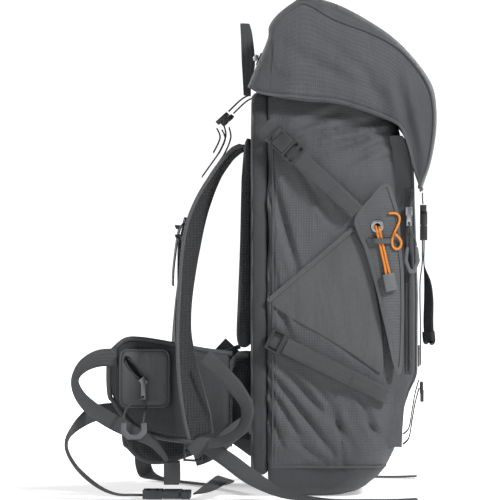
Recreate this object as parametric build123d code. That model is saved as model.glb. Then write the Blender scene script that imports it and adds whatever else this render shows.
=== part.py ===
"""Ski touring backpack, 25 litre class: bag, framed back, hooded lid, harness and hip belt.

Frame: +Z up, the harness on the +Y side, the outer face on the -Y side, the wearer's left at -X.
The origin lies on the flat base, below the bag. All sizes are in millimetres.
"""
import math
import os

from build123d import *

os.makedirs("parts", exist_ok=True)

# Driving dimensions
BAG_HALF_WIDTH = 130.0
BAG_BACK = 50.0
BAG_FRONT = -112.0
BAG_TOP = 440.0
COLLAR_TOP = 488.0
CORNER_BACK = 10.0
CORNER_FRONT = 34.0
WALL = 3.0
BASE_SEAM = 38.0
FABRIC = 2.0
GAP = 0.4

SLEEVE_BACK = 70.0
SLEEVE_TOP = 484.0
PAD_HALF_WIDTH = 112.0
LUMBAR_HALF_WIDTH = 86.0

LID_HALF_WIDTH = 134.0
LID_WALL = 3.0
LID_TIP_Z = 370.0

WEB = 20.0
BELT_WEB = 22.0
WEB_THICK = 1.6

SIDE_FACE = BAG_HALF_WIDTH
POCKET_FACE = SIDE_FACE + 5.0
WING_FACE = POCKET_FACE + 3.4
WING_CORNER = 44.0
WING_FRONT = -129.0
STRAP_FACE = WING_FACE + 1.0

SHOULDER_WIDTH = 56.0
SHOULDER_THICK = 9.0
RIGHT_STRAP_HANG = 6.5
RIGHT_WING_SAG = 0.5

LEFT, RIGHT = -1, 1


# Helpers

def save(name, shape):
    """Write one sub-part, whatever mix of solids it was made from."""
    solids = shape.solids() if hasattr(shape, "solids") else [s for part in shape for s in part.solids()]
    export_step(solids[0] if len(solids) == 1 else Compound(children=list(solids)), f"parts/{name}.step")


def group(*shapes):
    """Separate solids kept in one node."""
    solids = [s for shape in shapes for s in shape.solids()]
    return Compound(children=solids)


def box(x0, x1, y0, y1, z0, z1):
    """A box between two corners."""
    size = (abs(x1 - x0), abs(y1 - y0), abs(z1 - z0))
    return Pos((x0 + x1) / 2, (y0 + y1) / 2, (z0 + z1) / 2) * Box(*size)


def prism(points, x0, x1):
    """A (y, z) outline extruded along X from x0 to x1."""
    outline = make_face(Polyline(*[(x0, y, z) for y, z in points], close=True))
    return extrude(outline, amount=abs(x1 - x0), dir=(1 if x1 > x0 else -1, 0, 0))


def mirrored(shape):
    """The same piece on the other side of the pack."""
    return mirror(shape, about=Plane.YZ)


def ribbon(points, across, width, thick):
    """A flat band along a route: `across` is the band's width direction, one for all or one per point."""
    route = [Vector(*p) for p in points]
    count = len(route)
    spreads = [across] * count if isinstance(across[0], (int, float)) else across
    widths = [width] * count if isinstance(width, (int, float)) else width
    sections = []
    for i, centre in enumerate(route):
        ahead = (route[min(i + 1, count - 1)] - centre)
        behind = (centre - route[max(i - 1, 0)])
        run_in = behind.normalized() if behind.length > 0 else ahead.normalized()
        run_out = ahead.normalized() if ahead.length > 0 else run_in
        tangent = (run_in + run_out).normalized()
        spread = Vector(*spreads[i])
        spread = (spread - tangent * spread.dot(tangent)).normalized() * (widths[i] / 2)
        mitre = 1 / max(0.5, tangent.dot(run_in))
        normal = tangent.cross(spread).normalized() * (thick * mitre / 2)
        corners = [centre + spread + normal, centre - spread + normal,
                   centre - spread - normal, centre + spread - normal]
        sections.append(make_face(Polyline(*corners, close=True)))
    return loft(sections, ruled=True)


def turned(shape, origin, along, outward):
    """Place a piece drawn flat at the origin: its X goes along `along`, its Z goes along `outward`."""
    return Plane(origin=origin, x_dir=along, z_dir=outward) * shape


# The bag

def bag_section(z, half_width, back, front, inset=0.0):
    """A level outline of the bag: wide round corners in front, small ones behind."""
    hw, yb, yf = half_width - inset, back - inset, front + inset
    rb, rf = max(CORNER_BACK - inset, 3.0), max(CORNER_FRONT - inset, 3.0)
    with BuildSketch(Plane.XY.offset(z)) as sketch:
        with BuildLine():
            Polyline((-hw, yf), (hw, yf), (hw, yb), (-hw, yb), close=True)
        make_face()
        fillet([v for v in sketch.vertices() if v.Y > 0], rb)
        fillet([v for v in sketch.vertices() if v.Y < 0], rf)
    return sketch.sketch


BAG_LEVELS = [
    (0.0, 104.0, 46.0, -46.0),
    (10.0, 114.0, 48.0, -68.0),
    (26.0, 122.0, BAG_BACK, -87.0),
    (BASE_SEAM, 126.0, BAG_BACK, -96.0),
    (62.0, BAG_HALF_WIDTH, BAG_BACK, -106.0),
    (100.0, BAG_HALF_WIDTH, BAG_BACK, BAG_FRONT),
    (390.0, BAG_HALF_WIDTH, BAG_BACK, BAG_FRONT),
    (BAG_TOP, 123.0, BAG_BACK, -103.0),
    (COLLAR_TOP, 106.0, BAG_BACK - 6, -78.0),
]


def bag_shell():
    """The whole bag as an open-topped shell before it is cut into its panels."""
    outer = loft([bag_section(*level) for level in BAG_LEVELS], ruled=True)
    inner_levels = [(WALL, *BAG_LEVELS[0][1:])] + BAG_LEVELS[1:-1] + [(COLLAR_TOP + 1, *BAG_LEVELS[-1][1:])]
    inner = loft([bag_section(*level, inset=WALL) for level in inner_levels], ruled=True)
    return outer - inner


def bag_panels():
    """Cut the shell along its seams."""
    shell = bag_shell()
    far = 400.0
    front_seam = BAG_FRONT + CORNER_FRONT
    base = shell & box(-far, far, -far, far, -1, BASE_SEAM)
    walls = shell & box(-far, far, -far, far, BASE_SEAM, BAG_TOP)
    collar = shell & box(-far, far, -far, far, BAG_TOP, far * 2)
    back = walls & box(-far, far, BAG_BACK - WALL - 0.5, far, 0, far * 2)
    front = walls & box(-far, far, -far, front_seam, 0, far * 2)
    middle = walls & box(-far, far, front_seam, BAG_BACK - WALL - 0.5, 0, far * 2)
    left = middle & box(-far, 0, -far, far, 0, far * 2)
    right = middle & box(0, far, -far, far, 0, far * 2)
    return {"bottom_panel": base, "collar": collar, "back_panel": back, "front_panel": front,
            "side_panel_left": left, "side_panel_right": right}


# The framed back

def frame_sleeve():
    """The fabric sleeve behind the bag that holds the sheet and the stays: open towards the bag."""
    outer = box(-120, 120, BAG_BACK + GAP, SLEEVE_BACK, 26, SLEEVE_TOP)
    return outer - box(-118, 118, BAG_BACK, SLEEVE_BACK - FABRIC, 28, SLEEVE_TOP - FABRIC)


def frame_sheet():
    """The stiff plastic sheet, with its corners cut off."""
    y0, y1 = BAG_BACK + 1.0, BAG_BACK + 2.6
    sheet = box(-114, 114, y0, y1, 34, 472)
    return chamfer(sheet.edges().filter_by(Axis.Y), 18)


def frame_stays():
    """Two flat aluminium stays, one each side of the spine."""
    return group(*[box(x - 6, x + 6, BAG_BACK + 3.2, BAG_BACK + 6.2, 40, 466) for x in (-55, 55)])


def back_pad():
    """The foam pad against the wearer's back, thicker towards the hips and split by an air channel."""
    profile = [(SLEEVE_BACK + GAP, 446), (74, 446), (76.5, 428), (80, 383), (82, 298), (86, 200), (86, 176),
               (SLEEVE_BACK + GAP, 176)]
    half = prism(profile, -PAD_HALF_WIDTH, -14)
    return group(half, mirrored(half))


def lumbar_pad():
    """The thicker pad at the hips, between the belt wings."""
    pad = box(-LUMBAR_HALF_WIDTH, LUMBAR_HALF_WIDTH, SLEEVE_BACK + GAP, SLEEVE_BACK + 26, 62, 170)
    return fillet(pad.edges().filter_by(Axis.Y), 20)


# Pockets and panels on the front and sides

POCKET_SIDE = 114.0


def front_pocket():
    """The bulging outer pocket: a smooth shell that stands off the front panel."""
    back = BAG_FRONT - GAP
    outline = [(back, 78), (-115, 107), (-121, 128), (-131, 148), (-131.5, 240), (-129, 300), (-127, 360),
               (-126, 400), (-122, 424), (back, 436)]
    hollow = [(back + 1, 84), (-113, 108), (-119, 130), (-129, 149), (-129.5, 240), (-127, 299), (-125, 359),
              (-124, 399), (-120.4, 421), (back + 1, 432)]
    return prism(outline, -POCKET_SIDE, POCKET_SIDE) - prism(hollow, -POCKET_SIDE + FABRIC, POCKET_SIDE - FABRIC)


def front_zip():
    """The closed zip down the pocket's left flank: a tape and a row of teeth."""
    tape = box(-POCKET_SIDE - GAP, -POCKET_SIDE - 1.4, ZIP_Y - 4.5, ZIP_Y + 4.5, 150, 372)
    teeth = box(-POCKET_SIDE - 1.5, -POCKET_SIDE - 2.9, ZIP_Y - 1.1, ZIP_Y + 1.1, 152, 370)
    return group(tape, teeth)


ZIP_Y = -121.0
ZIP_OUT = POCKET_SIDE + 3.2
ZIP_TAB_X = -ZIP_OUT - 4.8
ZIP_HOLE_Z = 331.0


def front_zip_slider():
    """The slider body with its flat puller tab."""
    body = box(-ZIP_OUT, -ZIP_OUT - 4.2, ZIP_Y - 4, ZIP_Y + 4, 340, 350)
    tab = box(ZIP_TAB_X - 0.8, ZIP_TAB_X + 0.8, ZIP_Y - 3, ZIP_Y + 3, 327.6, 346)
    hole = Pos(ZIP_TAB_X, ZIP_Y, ZIP_HOLE_Z) * Rot(0, 90, 0) * Cylinder(1.4, 6)
    return body + tab - hole


GRIP_Y = -124.4
GRIP_X = -124.0


def front_zip_grip():
    """The moulded hexagonal grip that hangs from the slider's cord."""
    outer = [(-7.4, 302), (-9.8, 285), (-3.6, 270), (3.6, 270), (9.8, 285), (7.4, 302)]
    inner = [(-3.4, 303), (-4.9, 286), (-1.6, 275.6), (1.6, 275.6), (4.9, 286), (3.4, 303)]
    ring = prism([(GRIP_Y + y, z) for y, z in outer], GRIP_X - 2, GRIP_X + 2)
    return ring - prism([(GRIP_Y + y, z) for y, z in inner], GRIP_X - 3, GRIP_X + 3)


def side_pocket():
    """The stretch pocket panel, a rounded triangle that bulges from the side."""
    outline = [(50, 239), (-52, 326), (-74, 290), (-89, 200), (-91, 146), (-45, 178), (40, 228)]
    return prism(outline, -SIDE_FACE - GAP, -POCKET_FACE)


def wing_x(y, lift=0.0):
    """X of the tool holder panel's outer face at a given Y, wrapped round the front corner."""
    start = WING_FRONT + WING_CORNER
    if y >= start:
        return -WING_FACE - lift
    return -WING_FACE + WING_CORNER - math.sqrt((WING_CORNER + lift) ** 2 - (start - y) ** 2)


def on_wing(y, z, lift):
    """A point `lift` outside the tool holder panel."""
    return (wing_x(y, lift), y, z)


def corner_wall(outside, thick):
    """An upright wall that follows the pack's side and turns round its front corner."""
    def block(shrink):
        with BuildSketch(Plane.XY.offset(100)) as sketch:
            with BuildLine():
                x, y = outside - shrink, WING_FRONT + shrink
                Polyline((-x, y), (x, y), (x, 0), (-x, 0), close=True)
            make_face()
            fillet([v for v in sketch.vertices() if v.Y < -1], WING_CORNER - shrink)
        return extrude(sketch.sketch, amount=320)
    return block(0) - block(thick)


def tool_wing():
    """The tool holder panel wrapped over the front corner, with a slot below its eyelet."""
    outline = [(-95, 384), (-53, 338), (-68, 299), (-84, 248), (-96, 198), (-103, 164), (-109, 146),
               (-112, 160), (-114, 222), (-114, 279), (-108, 344)]
    panel = corner_wall(WING_FACE, 2.6) & prism(outline, -160, -60)
    slot = box(-WING_FACE - 10, -WING_FACE + 10, -100, -74, 309, 313)
    eye = Pos(-WING_FACE, EYELET_Y, EYELET_Z) * Rot(0, 90, 0) * Cylinder(5.4, 30)
    return panel - slot - eye


EYELET_Y, EYELET_Z = -83.0, 327.0


def wing_eyelet():
    """A rolled metal ring set in the tool holder panel."""
    ring = Pos(-WING_FACE - 0.8, EYELET_Y, EYELET_Z) * Rot(0, 90, 0) * (Cylinder(7.5, 1.2) - Cylinder(3.8, 5))
    barrel = Pos(-WING_FACE + 1.0, EYELET_Y, EYELET_Z) * Rot(0, 90, 0) * (Cylinder(5.1, 3.0) - Cylinder(3.8, 8))
    return ring + barrel


def cord_tab():
    """The flat moulded tab on the tool cord's end, hollow where it grips the cord's fold."""
    flat = box(-3.0, 3.0, -7.4, 7.4, -21, 0)
    pocket = box(-2.15, 2.15, -5.6, 5.6, -16, 1)
    tilt = math.degrees(math.atan2(TAB_LEAN[0], -TAB_LEAN[1]))
    return Pos(*tool_cord_point(TAB_AT, 0.0, TAB_LIFT)) * Rot(0, 0, TAB_TURN) * Rot(tilt, 0, 0) * (flat - pocket)


# Cords

def cord(route, diameter):
    """A round cord as a tube: straight runs joined by arcs as large as the runs allow."""
    points = [Vector(*p) for p in route]
    radii = []
    for before, here, after in zip(points, points[1:], points[2:]):
        turn = math.radians((here - before).get_angle(after - here))
        shorter = min((here - before).length, (after - here).length)
        radii.append(0.45 * shorter / math.tan(turn / 2))
    path = FilletPolyline(*points, radius=radii)
    tube = sweep(Plane(path @ 0, z_dir=path % 0) * Circle(diameter / 2), path=path)
    expected = math.pi * diameter ** 2 / 4 * path.length
    print(f"cord d {diameter}: length {path.length:.0f}, smallest radius {min(radii):.1f}, "
          f"volume ratio {tube.volume / expected:.3f}")
    return tube


TOOL_CORD = 3.0
TAB_AT = 58.0
TAB_LIFT = 4.3
TAB_TURN = 20.0
TAB_LEAN = (-0.216, -0.976)


def tool_cord_point(down, aside, lift):
    """A point beside the tool cord's centre line: `down` from the eyelet, `aside` towards the harness."""
    y = EYELET_Y + TAB_LEAN[0] * down - TAB_LEAN[1] * aside
    z = EYELET_Z + TAB_LEAN[1] * down + TAB_LEAN[0] * aside
    return on_wing(y, z, lift)


# Out of the eyelet, down, round inside the tab, up beside itself and back in
TOOL_CORD_ROUTE = [
    (-WING_FACE + 3.8, EYELET_Y - 1.9, EYELET_Z - 0.6), (-WING_FACE - 3.2, EYELET_Y - 1.9, EYELET_Z - 1.6),
    tool_cord_point(10, -1.8, 3.0), tool_cord_point(22, -1.7, 2.2), tool_cord_point(36, -1.8, 2.4),
    tool_cord_point(49, -1.7, 3.2), tool_cord_point(57, -2.0, 4.2), tool_cord_point(63, -3.3, 4.2),
    tool_cord_point(69.5, -3.4, 4.4), tool_cord_point(69.5, 3.4, 4.1), tool_cord_point(63, 3.3, 4.2),
    tool_cord_point(57, 2.0, 4.2), tool_cord_point(48, 1.7, 3.2), tool_cord_point(35, 1.8, 2.4),
    tool_cord_point(21, 1.7, 2.2), tool_cord_point(9.5, 1.8, 3.0),
    (-WING_FACE - 3.2, EYELET_Y + 1.9, EYELET_Z - 0.8), (-WING_FACE + 3.8, EYELET_Y + 1.9, EYELET_Z + 0.2),
]
# The spare end that curls beside the panel and crosses itself
TOOL_LOOP_ROUTE = [
    on_wing(-97.0, 342.5, 2.4), on_wing(-103.5, 343.5, 2.4), on_wing(-109.4, 340.0, 2.6),
    on_wing(-109.6, 332.5, 2.6), on_wing(-106.0, 325.0, 2.4), on_wing(-102.6, 317.5, 2.2),
    on_wing(-100.4, 310.0, 2.2), on_wing(-101.0, 303.0, 2.2), on_wing(-105.6, 299.0, 2.6),
    on_wing(-110.6, 301.5, 3.4), on_wing(-112.0, 308.0, 4.2), on_wing(-108.6, 314.0, 5.6),
    on_wing(-104.0, 318.0, 6.0),
]
FRONT_CORD = 1.8
# Up from the grip outside the slider's tab, through its hole and down inside it
FRONT_CORD_ROUTE = [
    (GRIP_X, GRIP_Y - 5.4, 302.5), (GRIP_X, GRIP_Y - 5.2, 309.0), (ZIP_TAB_X - 3.1, ZIP_Y - 2.2, 320.5),
    (ZIP_TAB_X - 2.9, ZIP_Y, ZIP_HOLE_Z), (ZIP_TAB_X + 2.9, ZIP_Y, ZIP_HOLE_Z),
    (ZIP_TAB_X + 3.1, ZIP_Y + 1.4, 321.0), (GRIP_X, GRIP_Y + 5.2, 310.0), (GRIP_X, GRIP_Y + 5.4, 302.5),
]


# Side straps and buckles

def strap_2d(start, end, width, x0, x1):
    """A straight flat strap lying in the side face between two (y, z) points."""
    (y0, z0), (y1, z1) = start, end
    length = math.hypot(y1 - y0, z1 - z0)
    ny, nz = -(z1 - z0) / length * width / 2, (y1 - y0) / length * width / 2
    corners = [(y0 + ny, z0 + nz), (y1 + ny, z1 + nz), (y1 - ny, z1 - nz), (y0 - ny, z0 - nz)]
    return prism(corners, x0, x1)


UPPER_START = (50.0, 446.0)
UPPER_END = (-59.0, 344.0)
UPPER_ANGLE = math.atan2(UPPER_END[1] - UPPER_START[1], UPPER_END[0] - UPPER_START[0])


def along_upper(distance):
    """A (y, z) point on the upper compression strap's line."""
    return (UPPER_START[0] + distance * math.cos(UPPER_ANGLE), UPPER_START[1] + distance * math.sin(UPPER_ANGLE))


LOWER_START = (49.0, 194.0)
LOWER_END = (-98.0, 122.0)
LOWER_ANGLE = math.atan2(LOWER_END[1] - LOWER_START[1], LOWER_END[0] - LOWER_START[0])


def along_lower(distance):
    """A (y, z) point on the lower compression strap's line."""
    return (LOWER_START[0] + distance * math.cos(LOWER_ANGLE), LOWER_START[1] + distance * math.sin(LOWER_ANGLE))


BUCKLE_W = 26.0
BUCKLE_T = 9.0
SOCKET_L = 24.0
PLUG_L = 18.0
ARM_L = 15.0
ARM_W = 2.5
SOCKET_CORE_W = 19.2
RUN_LIFT = 2.9
TAIL_LIFT = 5.1


def buckle_socket():
    """Side-release socket, mouth towards +X: a core between the arms, and a bar frame for its webbing."""
    core = box(0, SOCKET_L - 7, -SOCKET_CORE_W / 2, SOCKET_CORE_W / 2, 0, BUCKLE_T)
    bar_frame = box(-8, 0, -BUCKLE_W / 2, BUCKLE_W / 2, 0, BUCKLE_T - 1)
    window = box(-6, -1.6, -BUCKLE_W / 2 + 2.5, BUCKLE_W / 2 - 2.5, -1, BUCKLE_T)
    return core + bar_frame - window


def buckle_plug():
    """Side-release plug: two spring arms that reach back beside the core, and a ladder for its webbing."""
    mouth = SOCKET_L - 6.4
    arms = [box(mouth - ARM_L, mouth + 1, s * (SOCKET_CORE_W / 2 + 0.8), s * (SOCKET_CORE_W / 2 + 0.8 + ARM_W),
                1.5, BUCKLE_T - 1.5) for s in (-1, 1)]
    ladder = box(mouth, mouth + PLUG_L, -BUCKLE_W / 2, BUCKLE_W / 2, 0, BUCKLE_T)
    slot = box(mouth - 1, mouth + PLUG_L + 1, -WEB / 2 - 0.8, WEB / 2 + 0.8, 1.6, 6.4)
    bar = box(mouth + 7, mouth + 11, -BUCKLE_W / 2, BUCKLE_W / 2, 6.4, BUCKLE_T)
    open_top = box(mouth + 3, mouth + PLUG_L - 3, -WEB / 2 - 0.8, WEB / 2 + 0.8, 6.0, BUCKLE_T + 1)
    return arms[0] + arms[1] + (ladder - slot - open_top) + bar


def ladder_lock(width=26.0, length=20.0, thick=7.0):
    """A ladder lock: frame with two windows and a rounded grip bar."""
    frame = box(0, length, -width / 2, width / 2, 0, thick)
    window_a = box(2.5, length / 2 - 1.5, -width / 2 + 2.5, width / 2 - 2.5, -1, thick + 1)
    window_b = box(length / 2 + 1.5, length - 2.5, -width / 2 + 2.5, width / 2 - 2.5, -1, thick + 1)
    return frame - window_a - window_b


SIDE_OUT = (-1, 0, 0)
UPPER_ALONG = (0, math.cos(UPPER_ANGLE), math.sin(UPPER_ANGLE))
LOWER_ALONG = (0, math.cos(LOWER_ANGLE), math.sin(LOWER_ANGLE))
UPPER_BUCKLE_AT = 18.0


def on_upper(shape, distance, lift):
    """Lay a flat-drawn piece on the upper strap, `lift` out from the pack's centre plane."""
    y, z = along_upper(distance)
    return turned(shape, (-lift, y, z), UPPER_ALONG, SIDE_OUT)


def on_lower(shape, distance, lift):
    """Lay a flat-drawn piece on the lower strap."""
    y, z = along_lower(distance)
    return turned(shape, (-lift, y, z), LOWER_ALONG, SIDE_OUT)


def side_straps():
    """The two compression straps' webbing: short anchor, long run and free tail."""
    half = WEB_THICK / 2
    base = STRAP_FACE - GAP
    reach = math.dist(UPPER_START, UPPER_END)
    start = UPPER_BUCKLE_AT + SOCKET_L - 2.4
    low_reach = math.dist(LOWER_START, LOWER_END)
    low_base = POCKET_FACE + GAP

    def upper(begin, end, lift):
        return strap_2d(along_upper(begin), along_upper(end), WEB, -lift + half, -lift - half)

    def lower(begin, end, lift):
        return strap_2d(along_lower(begin), along_lower(end), WEB, -lift + half, -lift - half)

    anchor = upper(-4, UPPER_BUCKLE_AT - 8.6, base + 3)
    run = upper(start, reach, base + RUN_LIFT)
    tail = upper(start, 108, base + TAIL_LIFT)
    low_run = lower(2, low_reach, low_base + RUN_LIFT + 0.3)
    low_tail = lower(24, 112, low_base + TAIL_LIFT + 0.3)
    return group(anchor, run, tail, low_run, low_tail)


def side_buckle_socket():
    """The upper strap's socket, fixed at the bag's rear seam."""
    return on_upper(buckle_socket(), UPPER_BUCKLE_AT, STRAP_FACE - GAP)


def side_buckle_plug():
    """The upper strap's plug, that slides on the webbing."""
    return on_upper(buckle_plug(), UPPER_BUCKLE_AT, STRAP_FACE - GAP)


def lower_ladder():
    """The lower strap's ladder lock, clipped round the webbing: two side bars and three cross bars."""
    sides = [box(0, 20, s * 11, s * 13.5, 0, 8.4) for s in (-1, 1)]
    under = box(0, 20, -13.5, 13.5, 0, 2.0)
    over = [box(x, x + 4, -13.5, 13.5, 6.9, 8.4) for x in (0, 15)]
    return on_lower(sides[0] + sides[1] + under + over[0] + over[1], 2.0, POCKET_FACE + GAP)


# Front strap and lid buckle

BUCKLE_BASE_Y = -134.5
LID_BUCKLE_TOP = 344.0
RUN_Y = BUCKLE_BASE_Y - RUN_LIFT
TAIL_Y = BUCKLE_BASE_Y - TAIL_LIFT


def front_strap():
    """The webbing that the lid buckle's plug runs on: sewn at its foot, with a free hanging tail."""
    top = LID_BUCKLE_TOP - SOCKET_L + 2.4
    foot = box(-WEB / 2, WEB / 2, -132.0, -134.4, 152, 178)
    run = ribbon([(0, -135.4, 154), (0, -135.2, 200), (0, -134.6, 254), (0, RUN_Y, 282), (0, RUN_Y, top)],
                 (1, 0, 0), WEB, WEB_THICK)
    tail = ribbon([(0, TAIL_Y, top), (0, TAIL_Y, 276), (0, -144, 256), (0, -145.4, 234), (0, -145, 208),
                   (0, -146, 184)],
                  [(1, 0, 0), (1, 0, 0), (0.9, 0.4, 0), (0.8, 0.55, 0), (0.8, 0.6, 0), (0.8, 0.6, 0)],
                  WEB, WEB_THICK)
    return group(foot, run, tail)


def on_lid_buckle(shape):
    """Hang a flat-drawn buckle half below the lid's tip."""
    return turned(shape, (0, BUCKLE_BASE_Y, LID_BUCKLE_TOP), (0, 0, -1), (0, -1, 0))


def lid_strap():
    """The short strap between the lid's tip and the socket's bar."""
    return ribbon([(0, -137.6, LID_TIP_Z - 2.8), (0, -137.6, 360), (0, -138.2, 352.8)], (1, 0, 0),
                  [WEB, 18, 18], WEB_THICK)


def tool_loops():
    """Webbing loops and keeper bars sewn at the lower front corners."""
    loops = []
    for side in (LEFT, RIGHT):
        x = side * 90
        plate = box(x - 9, x + 9, -110.4, -112.4, 64, 74)
        band = ribbon([(x, -113.8, 62), (x, -121, 70), (x, -125, 92), (x, -128.5, 112), (x, -133.2, 130)],
                      (1, 0, 0), WEB, WEB_THICK)
        keeper = box(x - 13, x + 13, -139.0, -134.6, 114, 128)
        keeper -= box(x - 10.5, x + 10.5, -141, -133, 117, 125)
        loops += [plate, band, keeper]
    return group(*loops)


# The lid

LID_TOP_LINE = [(74, 495), (66, 514), (50, 552), (48, 568), (38, 582), (20, 596), (4, 603), (-35, 594),
                (-81, 569), (-111, 546), (-137, 516), (-150, 493), (-154, 466), (-153, 436), (-147, 403),
                (-138, 376)]
LID_SIDE_HEM = [(-128, 396), (-121, 418), (-114, 440), (-102, 451), (-79, 461), (-37, 474), (26, 480), (64, 489)]


def inset_line(points, distance):
    """Move an open (y, z) line to its right-hand side by a distance."""
    moved = []
    for i, (y, z) in enumerate(points):
        y0, z0 = points[max(i - 1, 0)]
        y1, z1 = points[min(i + 1, len(points) - 1)]
        length = math.hypot(y1 - y0, z1 - z0)
        moved.append((y + (z1 - z0) / length * distance, z - (y1 - y0) / length * distance))
    return moved


def lid_side():
    """The lid's left side panel."""
    return prism(LID_TOP_LINE + LID_SIDE_HEM, -LID_HALF_WIDTH, -LID_HALF_WIDTH + LID_WALL)


def lid_top():
    """The band from the rear seam over the crown and down the front to a rounded tip."""
    front = LID_TOP_LINE + [(-136, LID_TIP_Z)]
    inner = inset_line(front, -LID_WALL)
    half = LID_HALF_WIDTH - LID_WALL - 0.1
    band = prism(front + inner[::-1], -half, half)
    low = LID_TIP_Z - 2
    hem = [(-LID_HALF_WIDTH, 412), (-90, 390), (-40, 374), (-12, low), (12, low), (40, 374),
           (90, 390), (LID_HALF_WIDTH, 412), (LID_HALF_WIDTH, 300), (-LID_HALF_WIDTH, 300)]
    cut = extrude(make_face(Polyline(*[(x, -60, z) for x, z in hem], close=True)), amount=140, dir=(0, -1, 0))
    return band - cut


def lid_inner():
    """The underside that closes the lid pocket and lies over the collar."""
    half = LID_HALF_WIDTH - LID_WALL - 0.4
    line = [(64, 507), (0, 503), (-70, 499), (-128, 494)]
    lifted = [(y, z + 2.4) for y, z in line]
    return prism(line + lifted[::-1], -half, half)


ZIP_LEAN = math.degrees(math.atan2(16, 38))


def on_lid_rear(shape, x, up, lift):
    """Lay an upright piece on the lid's leaning rear face."""
    lean = math.radians(ZIP_LEAN)
    y = 66 - up * math.sin(lean) + lift * math.cos(lean)
    z = 514 + up * math.cos(lean) + lift * math.sin(lean)
    return Pos(x, y, z) * Rot(ZIP_LEAN, 0, 0) * shape


def lid_zip():
    """The pocket zip across the lid's rear face."""
    return group(on_lid_rear(Box(204, 1.2, 16), 0, 16, 1.2), on_lid_rear(Box(200, 1.4, 2.6), 0, 16, 2.6))


def lid_zip_slider():
    """The slider on the lid pocket's zip with its short puller."""
    return on_lid_rear(Box(9, 4, 8), -86, 16, 5.6) + on_lid_rear(Box(22, 1.6, 4.5), -78, 16, 8.2)


def haul_loop():
    """The grab loop of folded webbing that stands at the top of the back."""
    half = [(-24, 79.4, 487), (-22, 79.6, 506), (-18, 78, 527), (-10, 80, 560), (-4, 82, 574)]
    other = [(-x, y, z) for x, y, z in half[::-1]]
    return ribbon(half + other, (0, 1, 0.05), [7, 9, 15, 14, 12, 12, 14, 15, 9, 7], 2.2)


# Shoulder harness, drawn on the wearer's left

SHOULDER_LINE = [  # x, y, z, turn of the band about its own line in degrees
    (-60, 83, 424, 0), (-61, 94, 417, 2), (-66, 109, 397, 6), (-76, 125, 366, 12), (-92, 137, 332, 16),
    (-112, 144, 296, 15), (-134, 148, 250, 11), (-150, 149, 205, 12), (-157, 145, 163, 22),
    (-158, 139, 128, 34), (-158, 133, 100, 44), (-157, 128.5, 76, 50)]
SHOULDER_TAPER = (1, 1, 1, 1, 1, 1, 1, 0.96, 0.9, 0.84, 0.78, 0.66)
SHOULDER_PIVOT = (83.0, 424.0)


def shoulder_strap():
    """The padded strap: a flat band that flares out and turns as it falls past the hip."""
    points = [p[:3] for p in SHOULDER_LINE]
    across = [(math.cos(math.radians(a)), -math.sin(math.radians(a)), 0) for *_, a in SHOULDER_LINE]
    return ribbon(points, across, [SHOULDER_WIDTH * f for f in SHOULDER_TAPER], SHOULDER_THICK)


LADDER_IN_X = -158.0


def strap_ladder():
    """The ladder lock that hangs from the strap's end on a short webbing tab."""
    tab = ribbon([(-159.6, 131.2, 71.2), (-161.0, 133.4, 66.8)], (0.4, -0.9, 0), 10, 2.0)
    lock = turned(ladder_lock(24, 21, 6), (LADDER_IN_X, 136.0, 66.4), (0, 0.05, -1), SIDE_OUT)
    return group(tab, lock)


def load_lifter():
    """The load lifter: anchor webbing from the back's top, ladder lock, and the run down to the strap."""
    x = -62
    anchor = ribbon([(x, 73, 487), (x, 84, 481), (x, 99.5, 466.4)], (1, 0, 0), WEB - 2, WEB_THICK)
    lock = turned(ladder_lock(24, 18, 5), (x, 98.5, 462.0), (0, 0.74, -0.67), (0, 0.67, 0.74))
    run = ribbon([(x, 105, 449), (x - 1, 103, 436), (x - 4, 110, 418), (x - 8, 122, 400), (x - 12, 131, 387)],
                 (1, 0, 0), WEB - 4, WEB_THICK)
    tail = ribbon([(x, 114, 446), (x, 110, 434), (x - 2, 118, 416)], (1, 0, 0), WEB - 4, WEB_THICK)
    return group(anchor, lock, run, tail)


def sternum_strap():
    """One half of the chest strap: clip on the shoulder strap and its short hanging webbing."""
    clip = turned(ladder_lock(22, 16, 5), (-96.5, 146.6, 322), (-0.478, 0.167, -0.861), (0.276, 0.961, 0))
    web = ribbon([(-88, 156.2, 314), (-84, 158.0, 300), (-83, 158.5, 262), (-85, 157, 240)], (1, -0.2, 0), 16, 1.6)
    return group(clip, web)


def adjuster():
    """The strap adjuster: gusset at the bag's corner, run to the ladder lock, curl, and a tail on the floor."""
    gusset = prism([(51, 129), (82, 105), (71, 76), (51, 69)], -124.2, -126.2)
    run = ribbon([(-127.4, 77, 88), (-138, 92, 77), (-150, 110, 61), (-154, 124, 53), (-154.6, 136, 49)],
                 (0, 0.45, 0.9), WEB, WEB_THICK)
    tail = ribbon([(-166.4, 138, 55), (-168, 124, 65), (-170, 98, 50), (-172, 69, 29), (-174, 40, 13),
                   (-175, 14, 5), (-176, -27, 1.4), (-176, -75, 1.2), (-174, -105, 1.4), (-172, -131, 2.4)],
                  [(0, 0.9, 0.5), (0, 0.55, 0.8), (0, 0.55, 0.8), (0.2, 0.5, 0.8), (0.6, 0.3, 0.6),
                   (0.9, 0.1, 0.3), (1, 0, 0), (1, 0, 0), (1, 0, 0), (1, 0, 0)], WEB, WEB_THICK)
    curl = ribbon([(-178, 122, 172), (-179, 99, 150), (-179, 82, 131), (-179, 71, 109), (-178, 78, 86),
                   (-176, 98, 72), (-174, 118, 68)],
                  [(0.2, 0.67, -0.73), (0.3, 0.7, -0.7), (0.4, 0.8, -0.4), (0.6, 0.8, 0), (0.75, 0.5, 0.3),
                   (0.85, 0.1, 0.5), (0.85, 0, 0.5)], WEB, WEB_THICK)
    return group(gusset, run, tail, curl)


# Hip belt, drawn on the wearer's left

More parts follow.
